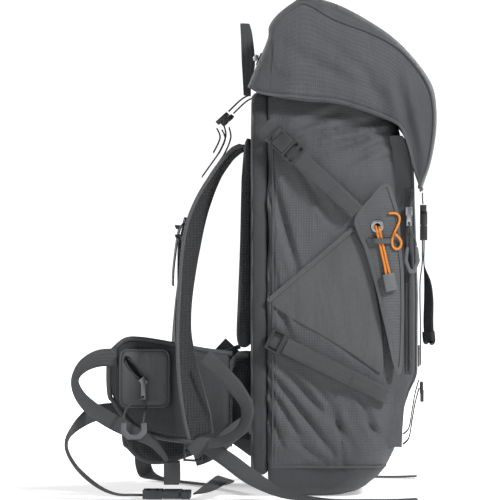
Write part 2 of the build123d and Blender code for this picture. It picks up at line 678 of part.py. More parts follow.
WING_STATIONS = [  # y, low z, high z, centre x
    (93, 60, 174, -99), (130, 62, 179, -101), (178, 68, 188, -104), (205, 78, 192, -107),
    (222, 92, 191, -109), (236, 112, 180, -111), (244, 132, 160, -112)]
WING_THICK = 13.0
WING_ROOT = 93.0


def wing_outer(y):
    """The wing's outer face at a given Y, by straight lines between its stations."""
    for (y0, _, _, x0), (y1, _, _, x1) in zip(WING_STATIONS, WING_STATIONS[1:]):
        if y <= y1:
            return x0 + (x1 - x0) * (y - y0) / (y1 - y0) - WING_THICK / 2
    return WING_STATIONS[-1][3] - WING_THICK / 2


def hip_wing(sag):
    """The padded wing that wraps round the hip; `sag` lowers its free end."""
    sections = []
    for y, low, high, x in WING_STATIONS:
        drop = sag * (y - WING_ROOT)
        corners = [(x - WING_THICK / 2, y, low - drop), (x + WING_THICK / 2, y, low - drop),
                   (x + WING_THICK / 2, y, high - drop), (x - WING_THICK / 2, y, high - drop)]
        sections.append(make_face(Polyline(*corners, close=True)))
    return loft(sections, ruled=True)


HIP_ZIP_TILT = -39.0


def on_hip_pocket(shape, y, z, lift, sag):
    """Place an upright piece on the belt pocket, turned along its slanted zip."""
    tilt = HIP_ZIP_TILT - 0.5 * math.degrees(math.atan(sag))
    return Pos(wing_outer(y) - lift, y, z - sag * (y - WING_ROOT)) * Rot(tilt, 0, 0) * shape


def hip_pocket(sag):
    """The belt pocket: a hollow pouch with a slanted zip mouth."""
    def pouch(inset, near, far):
        rings = []
        for depth, shrink in ((near, 0), (far, 6)):
            y0, y1, z0, z1 = 168 + inset, 228 - inset, 108 + inset, 178 - inset
            corners = [(wing_outer(y) - depth, y, z - sag * (y - WING_ROOT)) for y, z in
                       ((y0 + shrink, z0 + shrink), (y1 - shrink, z0 + shrink),
                        (y1 - shrink, z1 - shrink), (y0 + shrink, z1 - shrink))]
            rings.append(make_face(Polyline(*corners, close=True)))
        return loft(rings, ruled=True)
    shell = pouch(0, 0.8, 13.8) - pouch(2, 2.8, 11.8)
    return shell - on_hip_pocket(Box(16, 7, 28), 211, 155.5, 12, sag)


HIP_PULL_Y = 199.0
HIP_PULL_X = wing_outer(HIP_PULL_Y) - 20.0
HIP_HOLE_Z = 121.0


def hip_zip_slider(sag):
    """The slider that closes the belt pocket, with its wire puller."""
    drop = sag * (HIP_PULL_Y - WING_ROOT)
    body = on_hip_pocket(Box(4, 8, 9), HIP_PULL_Y, 140, 17.3, sag)
    puller = Pos(HIP_PULL_X, HIP_PULL_Y, 130 - drop) * Box(2, 5.4, 24)
    hole = Pos(HIP_PULL_X, HIP_PULL_Y, HIP_HOLE_Z - drop) * Rot(0, 90, 0) * Cylinder(1.5, 8)
    return body + puller - hole


HIP_CORD = 2.0
HIP_GRIP_X = -166.0
# From the grip, which hangs in front of the belt webbing, over to the puller, through its hole and back
HIP_CORD_ROUTE = [
    (HIP_GRIP_X, 219.6, 92.4), (HIP_GRIP_X + 0.5, 220.2, 101.0), (-153.0, 217.6, 109.0), (-140.0, 213.4, 113.4),
    (HIP_PULL_X - 4.2, 206.0, 117.4), (HIP_PULL_X - 3.2, HIP_PULL_Y, HIP_HOLE_Z),
    (HIP_PULL_X + 3.2, HIP_PULL_Y, HIP_HOLE_Z), (HIP_PULL_X + 2.6, 196.6, 111.0),
    (-136.0, 195.8, 105.0), (-150.0, 195.6, 103.2), (HIP_GRIP_X + 1.5, 195.8, 100.6), (HIP_GRIP_X, 196.4, 92.4)]


def hip_zip_grip():
    """The moulded grip, a flat-bottomed U that the cord's two ends go into."""
    outer = [(223.5, 92), (224, 80), (216, 72), (200, 72), (192, 80), (192.5, 92)]
    inner = [(216.5, 93), (217, 83), (212.5, 78), (203.5, 78), (199, 83), (199.5, 93)]
    return prism(outer, HIP_GRIP_X - 2, HIP_GRIP_X + 2) - prism(inner, HIP_GRIP_X - 3, HIP_GRIP_X + 3)


HIP_BUCKLE = (-168.0, 150.0, 2.0)
HIP_BUCKLE_SIZE = (1.3, 1.25, 1.15)


def flared(loop):
    """Centre line and width directions of a loop that opens like a cone towards the wearer's left.

    Each point is (x, y, z, lean): lean 0 is flat against the side, 90 is edge on from the side."""
    points = [p[:3] for p in loop]
    spreads = []
    for i, (_, _, _, lean) in enumerate(loop):
        (_, ya, za), (_, yb, zb) = points[max(i - 1, 0)], points[min(i + 1, len(loop) - 1)]
        reach = math.hypot(yb - ya, zb - za)
        flat = math.cos(math.radians(lean))
        spreads.append((-math.sin(math.radians(lean)), -flat * (zb - za) / reach, flat * (yb - ya) / reach))
    return points, spreads


UPPER_LOOP = [
    (-120.6, 232, 168, 0), (-124, 254, 167, 20), (-131, 272, 158, 50), (-137, 281, 143, 72),
    (-141, 276, 125, 60), (-143, 261, 108, 42), (-144, 241, 95, 36), (-147, 222, 85, 40),
    (-154, 190, 70, 62), (-162, 174, 54, 80), (-168, 165, 39, 90)]
LOWER_LOOP = [
    (-98.8, 208, 96, 0), (-99.6, 232, 101, 6), (-110, 258, 100, 30), (-130, 276, 90, 62), (-146, 288, 75, 84),
    (-157, 289, 59, 88), (-164, 279, 41, 88), (-168, 263, 25, 86), (-168, 246, 13, 88)]


def hip_web_left():
    """The long belt webbing: two free loops gathered by a keeper near the buckle."""
    slot_z = HIP_BUCKLE[2] + RUN_LIFT * HIP_BUCKLE_SIZE[2] + 0.4
    upper = ribbon(*flared(UPPER_LOOP), BELT_WEB, WEB_THICK)
    points, spreads = flared(LOWER_LOOP)
    level = [(-168, 228, 6.4), (-168, 208, slot_z), (-168, 188, slot_z)]
    lower = ribbon(points + level, spreads + [(-1, 0, 0)] * len(level), BELT_WEB, WEB_THICK)
    keeper = box(-182.6, -153.4, 153, 171, 19, 46) - box(-180.2, -155.8, 150, 174, 22, 43)
    return group(upper, lower, keeper)


def on_hip_buckle(shape):
    """Lay a flat-drawn buckle half on the floor, at the belt's size."""
    return turned(scale(shape, by=HIP_BUCKLE_SIZE), HIP_BUCKLE, (0, 1, 0), (0, 0, 1))


def hip_web_right():
    """The belt webbing from the socket, under the harness, to the right wing's end."""
    return ribbon([(-168, 135, 7), (-161, 118, 14), (-140, 104, 22), (-100, 100, 20), (-50, 106, 12),
                   (0, 122, 4), (60, 156, 2), (104, 192, 2.4), (120, 212, 8), (120, 218, 22), (118, 218, 40)],
                  [(1, 0, 0), (0.8, 0.5, 0.3), (0.5, 0.8, 0.3), (0, 1, 0.3), (0, 1, 0.1), (0, 1, 0), (0, 1, 0),
                   (-0.4, 1, 0), (-0.2, 1, 0), (0, 1, 0), (0, 1, 0)],
                  BELT_WEB - 2, WEB_THICK)


# Hanging of the far side: the right strap swings a little further out

def right_shoulder(shape):
    """Mirror a piece of the left shoulder strap and let it hang further out."""
    y, z = SHOULDER_PIVOT
    return Pos(0, y, z) * Rot(RIGHT_STRAP_HANG, 0, 0) * Pos(0, -y, -z) * mirrored(shape)


# Write every node

for panel_name, panel in bag_panels().items():
    save(panel_name, panel)

SINGLE = {
    "frame_sleeve": frame_sleeve, "frame_sheet": frame_sheet, "frame_stays": frame_stays, "back_pad": back_pad,
    "lumbar_pad": lumbar_pad, "front_pocket": front_pocket, "front_zip": front_zip,
    "front_zip_slider": front_zip_slider, "front_zip_grip": front_zip_grip, "cord_tab": cord_tab,
    "front_strap": front_strap, "tool_loops": tool_loops, "lid_top": lid_top, "lid_inner": lid_inner,
    "lid_zip": lid_zip, "lid_zip_slider": lid_zip_slider, "lid_strap": lid_strap, "haul_loop": haul_loop,
    "hip_zip_grip": hip_zip_grip, "hip_web_left": hip_web_left, "hip_web_right": hip_web_right,
}
for name, draw in SINGLE.items():
    save(name, draw())

save("tool_cord", cord(TOOL_CORD_ROUTE, TOOL_CORD))
save("tool_cord_loop", cord(TOOL_LOOP_ROUTE, TOOL_CORD))
save("front_zip_cord", cord(FRONT_CORD_ROUTE, FRONT_CORD))
save("hip_zip_cord", cord(HIP_CORD_ROUTE, HIP_CORD))
save("lid_buckle_socket", on_lid_buckle(buckle_socket()))
save("lid_buckle_plug", on_lid_buckle(buckle_plug()))
save("hip_buckle_socket", on_hip_buckle(buckle_socket()))
save("hip_buckle_plug", on_hip_buckle(buckle_plug()))

# Left and right pieces of the bag itself, one node for the pair
PAIRS = {
    "lid_sides": lid_side, "wing_eyelets": wing_eyelet, "side_pockets": side_pocket,
    "lower_ladders": lower_ladder, "side_buckle_sockets": side_buckle_socket, "load_lifters": load_lifter,
    "strap_adjusters": adjuster,
}
for name, draw in PAIRS.items():
    piece = draw()
    save(name, group(piece, mirrored(piece)))

# Left and right pieces with a node each, and how the right one differs from a plain mirror image
SIDED = {
    "tool_wing": (tool_wing, mirrored), "side_straps": (side_straps, mirrored),
    "side_buckle_plug": (side_buckle_plug, mirrored), "shoulder_strap": (shoulder_strap, right_shoulder),
    "strap_ladder": (strap_ladder, right_shoulder), "sternum_strap": (sternum_strap, right_shoulder),
}
for name, (draw, to_right) in SIDED.items():
    piece = draw()
    save(f"{name}_left", piece)
    save(f"{name}_right", to_right(piece))
for name, draw in {"hip_wing": hip_wing, "hip_pocket": hip_pocket, "hip_zip_slider": hip_zip_slider}.items():
    save(f"{name}_left", draw(0))
    save(f"{name}_right", mirrored(draw(RIGHT_WING_SAG)))
print(len(os.listdir("parts")), "nodes")
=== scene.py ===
# %% [markdown]
# # A ski touring backpack
# The frame of this lesson is a CAD model that is already measured and jointed. We load it, then cover it
# with cloth, webbing, foam and moulded plastic. Everything stays in the CAD model's own axes: +Z is up,
# the harness is on +Y, and the wearer's left is on -X.

# %% Load the frame
import math

import bmesh
import bpy
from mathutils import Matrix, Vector, noise


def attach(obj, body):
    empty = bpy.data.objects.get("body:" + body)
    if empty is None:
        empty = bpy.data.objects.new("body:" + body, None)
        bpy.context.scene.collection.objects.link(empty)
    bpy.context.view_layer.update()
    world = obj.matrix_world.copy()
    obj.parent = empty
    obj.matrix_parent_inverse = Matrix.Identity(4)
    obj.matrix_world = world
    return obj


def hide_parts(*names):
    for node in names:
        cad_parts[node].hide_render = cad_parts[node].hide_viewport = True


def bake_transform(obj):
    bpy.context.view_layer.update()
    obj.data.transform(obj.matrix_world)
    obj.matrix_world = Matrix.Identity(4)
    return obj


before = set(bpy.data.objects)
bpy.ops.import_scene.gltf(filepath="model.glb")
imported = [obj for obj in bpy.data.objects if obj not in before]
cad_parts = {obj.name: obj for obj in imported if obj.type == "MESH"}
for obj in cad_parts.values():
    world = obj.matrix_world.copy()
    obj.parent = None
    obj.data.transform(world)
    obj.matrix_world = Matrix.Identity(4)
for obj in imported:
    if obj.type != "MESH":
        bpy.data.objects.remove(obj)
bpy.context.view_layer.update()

# %% [markdown]
# ## Small tools
# Soft goods are lofts: rows of points joined by faces. Lengths below are in millimetres and become metres
# in one place. Each loft gets a UV map measured in metres, so that a weave keeps its real scale.

# %% Points and smooth lines
SIDES = {"left": -1, "right": 1}


def between(rows, i, t):
    """A soft curve's numbers at share t of the way from row i to row i + 1."""
    near = rows[max(i - 1, 0)], rows[i], rows[i + 1], rows[min(i + 2, len(rows) - 1)]
    return tuple(
        0.5 * (2 * b + (c - a) * t + (2 * a - 5 * b + 4 * c - d) * t * t + (3 * b - a - 3 * c + d) * t ** 3)
        for a, b, c, d in zip(*near))


def smooth(points, steps=8):
    """More points on a soft curve through the given ones, whatever numbers each point holds."""
    rows = [tuple(float(v) for v in p) for p in points]
    return [between(rows, i, k / steps) for i in range(len(rows) - 1) for k in range(steps)] + [rows[-1]]


def lookup(table, z):
    """Values between the rows of a table whose first column rises."""
    if z <= table[0][0]:
        return table[0][1:]
    for low, high in zip(table, table[1:]):
        if z <= high[0]:
            t = (z - low[0]) / (high[0] - low[0])
            t = t * t * (3 - 2 * t) * 0.4 + t * 0.6
            return tuple(a + (b - a) * t for a, b in zip(low[1:], high[1:]))
    return table[-1][1:]


# %% Loft and finish
def finish_mesh(name, bm, body, material, smooth_angle=60.0):
    """Turn a bmesh in millimetres into a finished piece that rides a body."""
    bmesh.ops.recalc_face_normals(bm, faces=bm.faces)
    bmesh.ops.scale(bm, vec=(0.001, 0.001, 0.001), verts=bm.verts)
    mesh = bpy.data.meshes.new(name)
    bm.to_mesh(mesh)
    bm.free()
    piece = bpy.data.objects.new(name, mesh)
    bpy.context.scene.collection.objects.link(piece)
    for part in material if isinstance(material, (list, tuple)) else [material]:
        mesh.materials.append(part)
    select_only(piece)
    bpy.ops.object.shade_smooth_by_angle(angle=math.radians(smooth_angle))
    if body:
        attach(piece, body)
    return piece


def select_only(piece):
    bpy.ops.object.select_all(action="DESELECT")
    piece.select_set(True)
    bpy.context.view_layer.objects.active = piece


def loft(name, rings, body, material, closed=True, caps=True, paint=None):
    """Faces between rings of points. `paint` gives a material number from a face's centre."""
    bm = bmesh.new()
    uv = bm.loops.layers.uv.new("UVMap")
    rings = [[Vector(p) for p in ring] for ring in rings]
    count = len(rings[0])
    middle = rings[len(rings) // 2]
    around = [0.0]
    for j in range(count if closed else count - 1):
        around.append(around[-1] + (middle[(j + 1) % count] - middle[j]).length)
    along = [0.0]
    for a, b in zip(rings, rings[1:]):
        along.append(along[-1] + sum((p - q).length for p, q in zip(a, b)) / count)
    verts = [[bm.verts.new(p) for p in ring] for ring in rings]
    for i in range(len(rings) - 1):
        for j in range(count if closed else count - 1):
            k = (j + 1) % count
            quad = (verts[i][j], verts[i + 1][j], verts[i + 1][k], verts[i][k])
            if len(set(quad)) < 4:
                continue
            face = bm.faces.new(quad)
            spots = ((j, i), (j, i + 1), (j + 1, i + 1), (j + 1, i))
            for loop, (u, v) in zip(face.loops, spots):
                loop[uv].uv = (around[u] * 0.001, along[v] * 0.001)
            if paint:
                face.material_index = paint(face.calc_center_median())
    if closed and caps:
        for ring, end in ((verts[0], rings[0]), (verts[-1], rings[-1])):
            hub = bm.verts.new(sum(end, Vector()) / count)
            for j in range(count):
                face = bm.faces.new((ring[j], ring[(j + 1) % count], hub))
                for loop in face.loops:
                    loop[uv].uv = (loop.vert.co.x * 0.001, loop.vert.co.y * 0.001)
                if paint:
                    face.material_index = paint(face.calc_center_median())
    return finish_mesh(name, bm, body, material)


def modify(piece, kind, **settings):
    """Apply one modifier with the given settings."""
    select_only(piece)
    modifier = piece.modifiers.new(kind.lower(), kind)
    for key, value in settings.items():
        setattr(modifier, key, value)
    bpy.ops.object.modifier_apply(modifier=modifier.name)


def thicken(piece, thickness, offset=-1.0):
    """Give a sheet its cloth thickness in millimetres."""
    modify(piece, "SOLIDIFY", thickness=thickness * 0.001, offset=offset)


def stand_in(node, slot_name, *pieces):
    """Hide a CAD node behind new pieces; `slot_name` is not used."""
    for piece in pieces:
        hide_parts(node)


def lump(x, y, z):
    """Smooth noise between about -0.7 and 0.7."""
    return noise.noise(Vector((x, y, z)))


# %% Webbing
BAND_TOP = [(-1, 0), (-0.95, 0.42), (-0.5, 0.5), (0, 0.5), (0.5, 0.5), (0.95, 0.42)]
BAND_SHAPE = BAND_TOP + [(-u, -v) for u, v in BAND_TOP]  # in half widths and thicknesses
SQUARE = ((-1, -1), (1, -1), (1, 1), (-1, 1))


def heading(rows, i):
    """The direction of a line of points at point i."""
    ahead, behind = Vector(rows[min(i + 1, len(rows) - 1)][:3]), Vector(rows[max(i - 1, 0)][:3])
    return (ahead - behind).normalized()


def square_to(spread, tangent):
    """`spread` turned to stand square to a line's direction."""
    return (spread - tangent * spread.dot(tangent)).normalized()


def band(name, points, across, width, body, material, thick=1.6, steps=8):
    """Flat webbing along a soft line. `across` is its width direction, one for all or one per point."""
    spreads = [across] * len(points) if isinstance(across[0], (int, float)) else across
    widths = [width] * len(points) if isinstance(width, (int, float)) else width
    rows = smooth([(*p, *s, w) for p, s, w in zip(points, spreads, widths)], steps)
    rings = []
    for i, row in enumerate(rows):
        centre = Vector(row[:3])
        tangent = heading(rows, i)
        spread = square_to(Vector(row[3:6]), tangent)
        normal = tangent.cross(spread)
        half = row[6] / 2
        rings.append([centre + spread * (u * half) + normal * (v * thick) for u, v in BAND_SHAPE])
    return loft(name, rings, body, material)


def tube(name, points, radius, body, material, steps=4, sides=8):
    """A round binding or piping along a soft line."""
    rows = smooth(points, steps)
    rings = []
    side = None
    for i, row in enumerate(rows):
        tangent = heading(rows, i)
        side = square_to(side or tangent.orthogonal().normalized(), tangent)
        up = tangent.cross(side)
        rings.append([Vector(row) + (side * math.cos(a) + up * math.sin(a)) * radius
                      for a in (2 * math.pi * k / sides for k in range(sides))])
    return loft(name, rings, body, material)


def add_block(bm, low, top):
    """A closed block between four low points and four top points."""
    low, top = [bm.verts.new(p) for p in low], [bm.verts.new(p) for p in top]
    bm.faces.new(low[::-1])
    bm.faces.new(top)
    for j in range(4):
        bm.faces.new((low[j], low[(j + 1) % 4], top[(j + 1) % 4], top[j]))


def stitches(name, points, outward, body, material, pitch=3.4, length=2.4):
    """A row of short thread loops lying on a seam."""
    rows = [Vector(p) for p in smooth(points, 6)]
    bm = bmesh.new()
    travelled, due = 0.0, pitch / 2
    out = Vector(outward).normalized()
    for a, b in zip(rows, rows[1:]):
        step = (b - a).length
        while travelled + step > due and step > 0:
            spot = a + (b - a) * ((due - travelled) / step)
            along = (b - a).normalized() * (length / 2)
            wide = along.cross(out).normalized() * 0.32
            add_block(bm, [spot + along * s + wide * w - out * 0.15 for s, w in SQUARE],
                      [spot + along * s * 0.7 + wide * w * 0.6 + out * 0.4 for s, w in SQUARE])
            due += pitch
        travelled += step
    return finish_mesh(name, bm, body, material)


# %% [markdown]
# ## Materials
# Each cloth is one recipe with its own numbers: a weave bump, ripstop lines or ribs where the real cloth has
# them, and slow variations in tone. Weaves read the UV map that every loft carries. Spacer mesh, plastic,
# metal and the slow variations read Object coordinates.

# %% Node helpers
def new_material(name):
    material = bpy.data.materials.new(name)
    material.use_nodes = True
    tree = material.node_tree
    return material, tree, tree.nodes["Principled BSDF"]


def compute(tree, operation, first, second=0.0, third=0.0):
    """One Math node; each input is a number or another node's output."""
    node = tree.nodes.new("ShaderNodeMath")
    node.operation = operation
    for socket, value in zip(node.inputs, (first, second, third)):
        if isinstance(value, (int, float)):
            socket.default_value = value
        else:
            tree.links.new(value, socket)
    return node.outputs[0]


def times(tree, first, second):
    return compute(tree, "MULTIPLY", first, second)


def plus(tree, first, second):
    return compute(tree, "ADD", first, second)


def lines(tree, coordinate, pitch, width):
    """1 on evenly spaced lines of the given pitch and width in metres, 0 between them."""
    phase = compute(tree, "PINGPONG", compute(tree, "DIVIDE", coordinate, pitch), 0.5)
    near = compute(tree, "SMOOTH_MIN", compute(tree, "DIVIDE", phase, width / pitch), 1.0, 0.1)
    return compute(tree, "SUBTRACT", 1.0, near)


def waves(tree, coordinate, pitch):
    """A soft ridge once per pitch."""
    return compute(tree, "SINE", times(tree, coordinate, 2 * math.pi / pitch))


def speckle(tree, vector, scale, detail=3.0):
    node = tree.nodes.new("ShaderNodeTexNoise")
    node.inputs["Scale"].default_value = scale
    node.inputs["Detail"].default_value = detail
    tree.links.new(vector, node.inputs["Vector"])
    return node.outputs["Fac"]


def tint(tree, shader, factor, tone, dark, light):
    """Colour the shader from a darker to a lighter shade of one tone."""
    node = tree.nodes.new("ShaderNodeMix")
    node.data_type = "RGBA"
    tree.links.new(factor, node.inputs["Factor"])
    node.inputs["A"].default_value = (*(c * dark for c in tone), 1)
    node.inputs["B"].default_value = (*(min(c * light, 1) for c in tone), 1)
    tree.links.new(node.outputs["Result"], shader.inputs["Base Color"])


def coordinates(tree, kind):
    place = tree.nodes.new("ShaderNodeTexCoord")
    split = tree.nodes.new("ShaderNodeSeparateXYZ")
    tree.links.new(place.outputs[kind], split.inputs[0])
    return place, split


def raise_surface(tree, shader, height, depth, strength=1.0, under=None):
    bump = tree.nodes.new("ShaderNodeBump")
    if under:
        tree.links.new(under, bump.inputs["Normal"])
    bump.inputs["Distance"].default_value = depth
    bump.inputs["Strength"].default_value = strength
    tree.links.new(height, bump.inputs["Height"])
    tree.links.new(bump.outputs[0], shader.inputs["Normal"])


# %% Cloth recipe
def cloth(name, tone, rough=0.75, weave=0.0009, grid=0.0, ribs=0.0, sheen=0.3, depth=0.00025):
    """Woven cloth. `grid` spaces ripstop lines both ways, `ribs` spaces lines one way, in metres."""
    material, tree, shader = new_material(name)
    place, split = coordinates(tree, "UV")
    u, v = split.outputs["X"], split.outputs["Y"]
    height = times(tree, times(tree, waves(tree, u, weave), waves(tree, v, weave)), 0.35)
    marks = times(tree, height, 0.4)
    if grid:
        net = compute(tree, "MAXIMUM", lines(tree, u, grid, grid * 0.2), lines(tree, v, grid, grid * 0.2))
        height = plus(tree, height, net)
        marks = plus(tree, marks, times(tree, net, 0.55))
    if ribs:
        row = lines(tree, v, ribs, ribs * 0.45)
        height = plus(tree, height, row)
        marks = plus(tree, marks, times(tree, row, 0.4))
    clouds = speckle(tree, place.outputs["Object"], 14)
    dust = speckle(tree, place.outputs["Object"], 260, 2)
    blend = plus(tree, marks, plus(tree, times(tree, clouds, 0.6), times(tree, dust, 0.35)))
    tint(tree, shader, compute(tree, "SUBTRACT", blend, 0.1), tone, 0.72, 1.45)
    tree.links.new(plus(tree, rough - 0.08, times(tree, clouds, 0.16)), shader.inputs["Roughness"])
    shader.inputs["Sheen Weight"].default_value = sheen * 0.15
    shader.inputs["Sheen Roughness"].default_value = 0.5
    shader.inputs["Specular IOR Level"].default_value = 0.5
    lean = tree.nodes.new("ShaderNodeMapping")
    lean.inputs["Rotation"].default_value = (0.7, 0.25, 0.3)
    lean.inputs["Scale"].default_value = (1.0, 2.6, 0.8)
    tree.links.new(place.outputs["Object"], lean.inputs["Vector"])
    soft = tree.nodes.new("ShaderNodeBump")
    soft.inputs["Distance"].default_value = 0.006
    soft.inputs["Strength"].default_value = 0.8
    tree.links.new(speckle(tree, lean.outputs[0], 13, 3), soft.inputs["Height"])
    raise_surface(tree, shader, height, depth, under=soft.outputs[0])
    return material


# %% Webbing, mesh, thread, cord
def webbing_cloth(name, tone):
    """Nylon webbing: close ribs across the band, a fine herringbone, and fine ridges along it."""
    material, tree, shader = new_material(name)
    place, split = coordinates(tree, "UV")
    u, v = split.outputs["X"], split.outputs["Y"]
    slant = plus(tree, v, compute(tree, "PINGPONG", u, 0.0022))
    ribs = waves(tree, slant, 0.0013)
    ridges = waves(tree, u, 0.0021)
    height = plus(tree, times(tree, ribs, 0.6), times(tree, ridges, 0.3))
    fuzz = speckle(tree, place.outputs["Object"], 420, 2)
    clouds = speckle(tree, place.outputs["Object"], 22)
    factor = plus(tree, times(tree, height, 0.22), plus(tree, times(tree, fuzz, 0.4), times(tree, clouds, 0.45)))
    tint(tree, shader, factor, tone, 0.6, 1.5)
    shader.inputs["Roughness"].default_value = 0.62
    shader.inputs["Sheen Weight"].default_value = 0.04
    raise_surface(tree, shader, height, 0.0003)
    return material


def spacer_mesh(name, tone, pitch=0.0034):
    """Air mesh: rows of small holes over dark foam."""
    material, tree, shader = new_material(name)
    place, _ = coordinates(tree, "Object")
    holes = tree.nodes.new("ShaderNodeTexVoronoi")
    holes.inputs["Scale"].default_value = 1 / pitch
    holes.inputs["Randomness"].default_value = 0.18
    tree.links.new(place.outputs["Object"], holes.inputs["Vector"])
    rim = times(tree, holes.outputs["Distance"], 1.7)
    clouds = speckle(tree, place.outputs["Object"], 18)
    factor = times(tree, times(tree, rim, rim), plus(tree, clouds, 0.5))
    tint(tree, shader, factor, tone, 0.25, 1.5)
    shader.inputs["Roughness"].default_value = 0.9
    shader.inputs["Sheen Weight"].default_value = 0.03
    raise_surface(tree, shader, rim, 0.0006)
    return material


def moulded(name, tone, rough=0.42):
    """Moulded plastic: fine spark texture, slight handling marks."""
    material, tree, shader = new_material(name)
    place, _ = coordinates(tree, "Object")
    grain = speckle(tree, place.outputs["Object"], 1500, 2)
    marks = speckle(tree, place.outputs["Object"], 90, 4)
    tint(tree, shader, marks, tone, 0.8, 1.3)
    tree.links.new(plus(tree, rough - 0.1, times(tree, marks, 0.25)), shader.inputs["Roughness"])
    raise_surface(tree, shader, grain, 0.00006, 0.6)
    return material


def plated(name, tone, rough=0.3):
    """Plated metal with small scratches."""
    material, tree, shader = new_material(name)
    place, _ = coordinates(tree, "Object")
    scratches = speckle(tree, place.outputs["Object"], 700, 5)
    tint(tree, shader, scratches, tone, 0.8, 1.0)
    tree.links.new(plus(tree, rough - 0.1, times(tree, scratches, 0.3)), shader.inputs["Roughness"])
    shader.inputs["Metallic"].default_value = 1.0
    raise_surface(tree, shader, scratches, 0.00003, 0.5)
    return material


def braided(name, tone):
    """A braided cord sheath: two crossing rows of strands."""
    material, tree, shader = new_material(name)
    place, split = coordinates(tree, "UV")
    u, v = split.outputs["X"], split.outputs["Y"]
    cross = times(tree, waves(tree, plus(tree, u, v), 0.0016), waves(tree, compute(tree, "SUBTRACT", u, v), 0.0016))
    factor = plus(tree, times(tree, cross, 0.5), 0.5)
    tint(tree, shader, factor, tone, 0.7, 1.15)
    shader.inputs["Roughness"].default_value = 0.6
    raise_surface(tree, shader, cross, 0.00025)
    return material


# %% The pack's finishes
SIDE = cloth("side ripstop", (0.052, 0.055, 0.060), rough=0.56, grid=0.0032, sheen=0.35)
LID = cloth("lid ripstop", (0.050, 0.053, 0.058), rough=0.56, grid=0.0032, sheen=0.35)
BASE = cloth("base cloth", (0.042, 0.045, 0.050), weave=0.0014, depth=0.0004, rough=0.7)
SMOOTH = cloth("smooth pocket cloth", (0.060, 0.063, 0.068), weave=0.0007, depth=0.00012, rough=0.6,
               sheen=0.4)
STRETCH = cloth("stretch cloth", (0.068, 0.070, 0.074), weave=0.0011, depth=0.0002, rough=0.8, sheen=0.5)
PANEL = cloth("ribbed panel cloth", (0.058, 0.062, 0.067), ribs=0.0035, rough=0.65, sheen=0.35)
EDGE = cloth("binding tape", (0.064, 0.067, 0.072), weave=0.0009, rough=0.65, sheen=0.3)
# The near-black lining tone is partly painted shade: it also paints the shaded insides on the bag's top, under the
# lid and along the belt pocket's open zip.
LINING_AND_SHADE = cloth("dark lining and painted shade", (0.008, 0.0085, 0.010), weave=0.0012, rough=0.85)
HARNESS = cloth("harness cloth", (0.034, 0.036, 0.040), weave=0.0012, rough=0.75)
WEBBING = webbing_cloth("webbing", (0.056, 0.059, 0.064))
MESH = spacer_mesh("spacer mesh", (0.018, 0.019, 0.021))
BUCKLE = moulded("buckle plastic", (0.018, 0.019, 0.021))
GRIP = moulded("grip plastic", (0.085, 0.09, 0.096), 0.5)
SHEET = moulded("frame plastic", (0.02, 0.02, 0.02), 0.55)
METAL = plated("plated metal", (0.40, 0.41, 0.43))
GUNMETAL = plated("dark plated metal", (0.16, 0.165, 0.175), 0.35)
STAY = plated("stay alloy", (0.78, 0.78, 0.8), 0.4)
ORANGE = braided("orange cord", (0.85, 0.27, 0.03))
GREY = braided("grey cord", (0.07, 0.075, 0.08))
THREAD = moulded("thread", (0.11, 0.115, 0.12), 0.7)
print(len(bpy.data.materials), "materials")

# %% [markdown]
# ## Camera and light
# The camera looks at the wearer's left side, a hair from square on and a long way off.

# %% Camera
camera_data = bpy.data.cameras.new("camera")
camera_data.lens = 261.3
camera_data.sensor_width = 36.0
camera = bpy.data.objects.new("camera", camera_data)
bpy.context.scene.collection.objects.link(camera)
camera.location = (-4.495, -0.120, 0.3745)
aim = Vector((0, 0.076, 0.296)) - camera.location
camera.rotation_euler = aim.to_track_quat("-Z", "Y").to_euler()
bpy.context.scene.camera = camera

# %% Light and floor
world = bpy.data.worlds.new("studio")
bpy.context.scene.world = world
world.use_nodes = True
tree = world.node_tree
backdrop = tree.nodes["Background"]
backdrop.inputs["Color"].default_value = (1, 1, 1, 1)
seen = tree.nodes.new("ShaderNodeLightPath")
tree.links.new(plus(tree, 0.13, seen.outputs["Is Camera Ray"]), backdrop.inputs["Strength"])
bpy.context.scene.view_settings.view_transform = "Standard"


def soft_light(name, place, size, power):
    data = bpy.data.lights.new(name, "AREA")
    data.size = size
    data.energy = power
    lamp = bpy.data.objects.new(name, data)
    lamp.location = place
    lamp.rotation_euler = (Vector((0, 0, 0.3)) - lamp.location).to_track_quat("-Z", "Y").to_euler()
    bpy.context.scene.collection.objects.link(lamp)


soft_light("key", (-1.9, -2.0, 2.3), 0.6, 118)
soft_light("fill", (-2.8, 1.5, 0.9), 1.0, 16)
soft_light("rim", (1.8, -1.6, 1.6), 0.8, 40)
soft_light("back", (1.4, 2.4, 1.6), 1.0, 60)

bpy.ops.mesh.primitive_plane_add(size=30, location=(0, 0, -0.0005))
floor = bpy.context.active_object
floor.name = "floor"
paper, paper_tree, paper_shader = new_material("floor paper")
paper_shader.inputs["Base Color"].default_value = (0.93, 0.93, 0.93, 1)
paper_shader.inputs["Roughness"].default_value = 0.9
paper_shader.inputs["Emission Color"].default_value = (1, 1, 1, 1)
_, paper_place = coordinates(paper_tree, "Object")
fade = times(paper_tree, compute(paper_tree, "SUBTRACT", paper_place.outputs["X"], 0.15), 1.1)
fade = compute(paper_tree, "MINIMUM", compute(paper_tree, "MAXIMUM", fade, 0.0), 1.0)
paper_tree.links.new(plus(paper_tree, times(paper_tree, fade, 0.8), 0.4),
                     paper_shader.inputs["Emission Strength"])
floor.data.materials.append(paper)

# %% [markdown]
# ## The bag
# The bag is one sewn tube of ripstop. Its creases run down and forward from the rear seam, as the load pulls
# on the compression straps. One loft makes it, and the creases are pressed in by a formula as it is made.

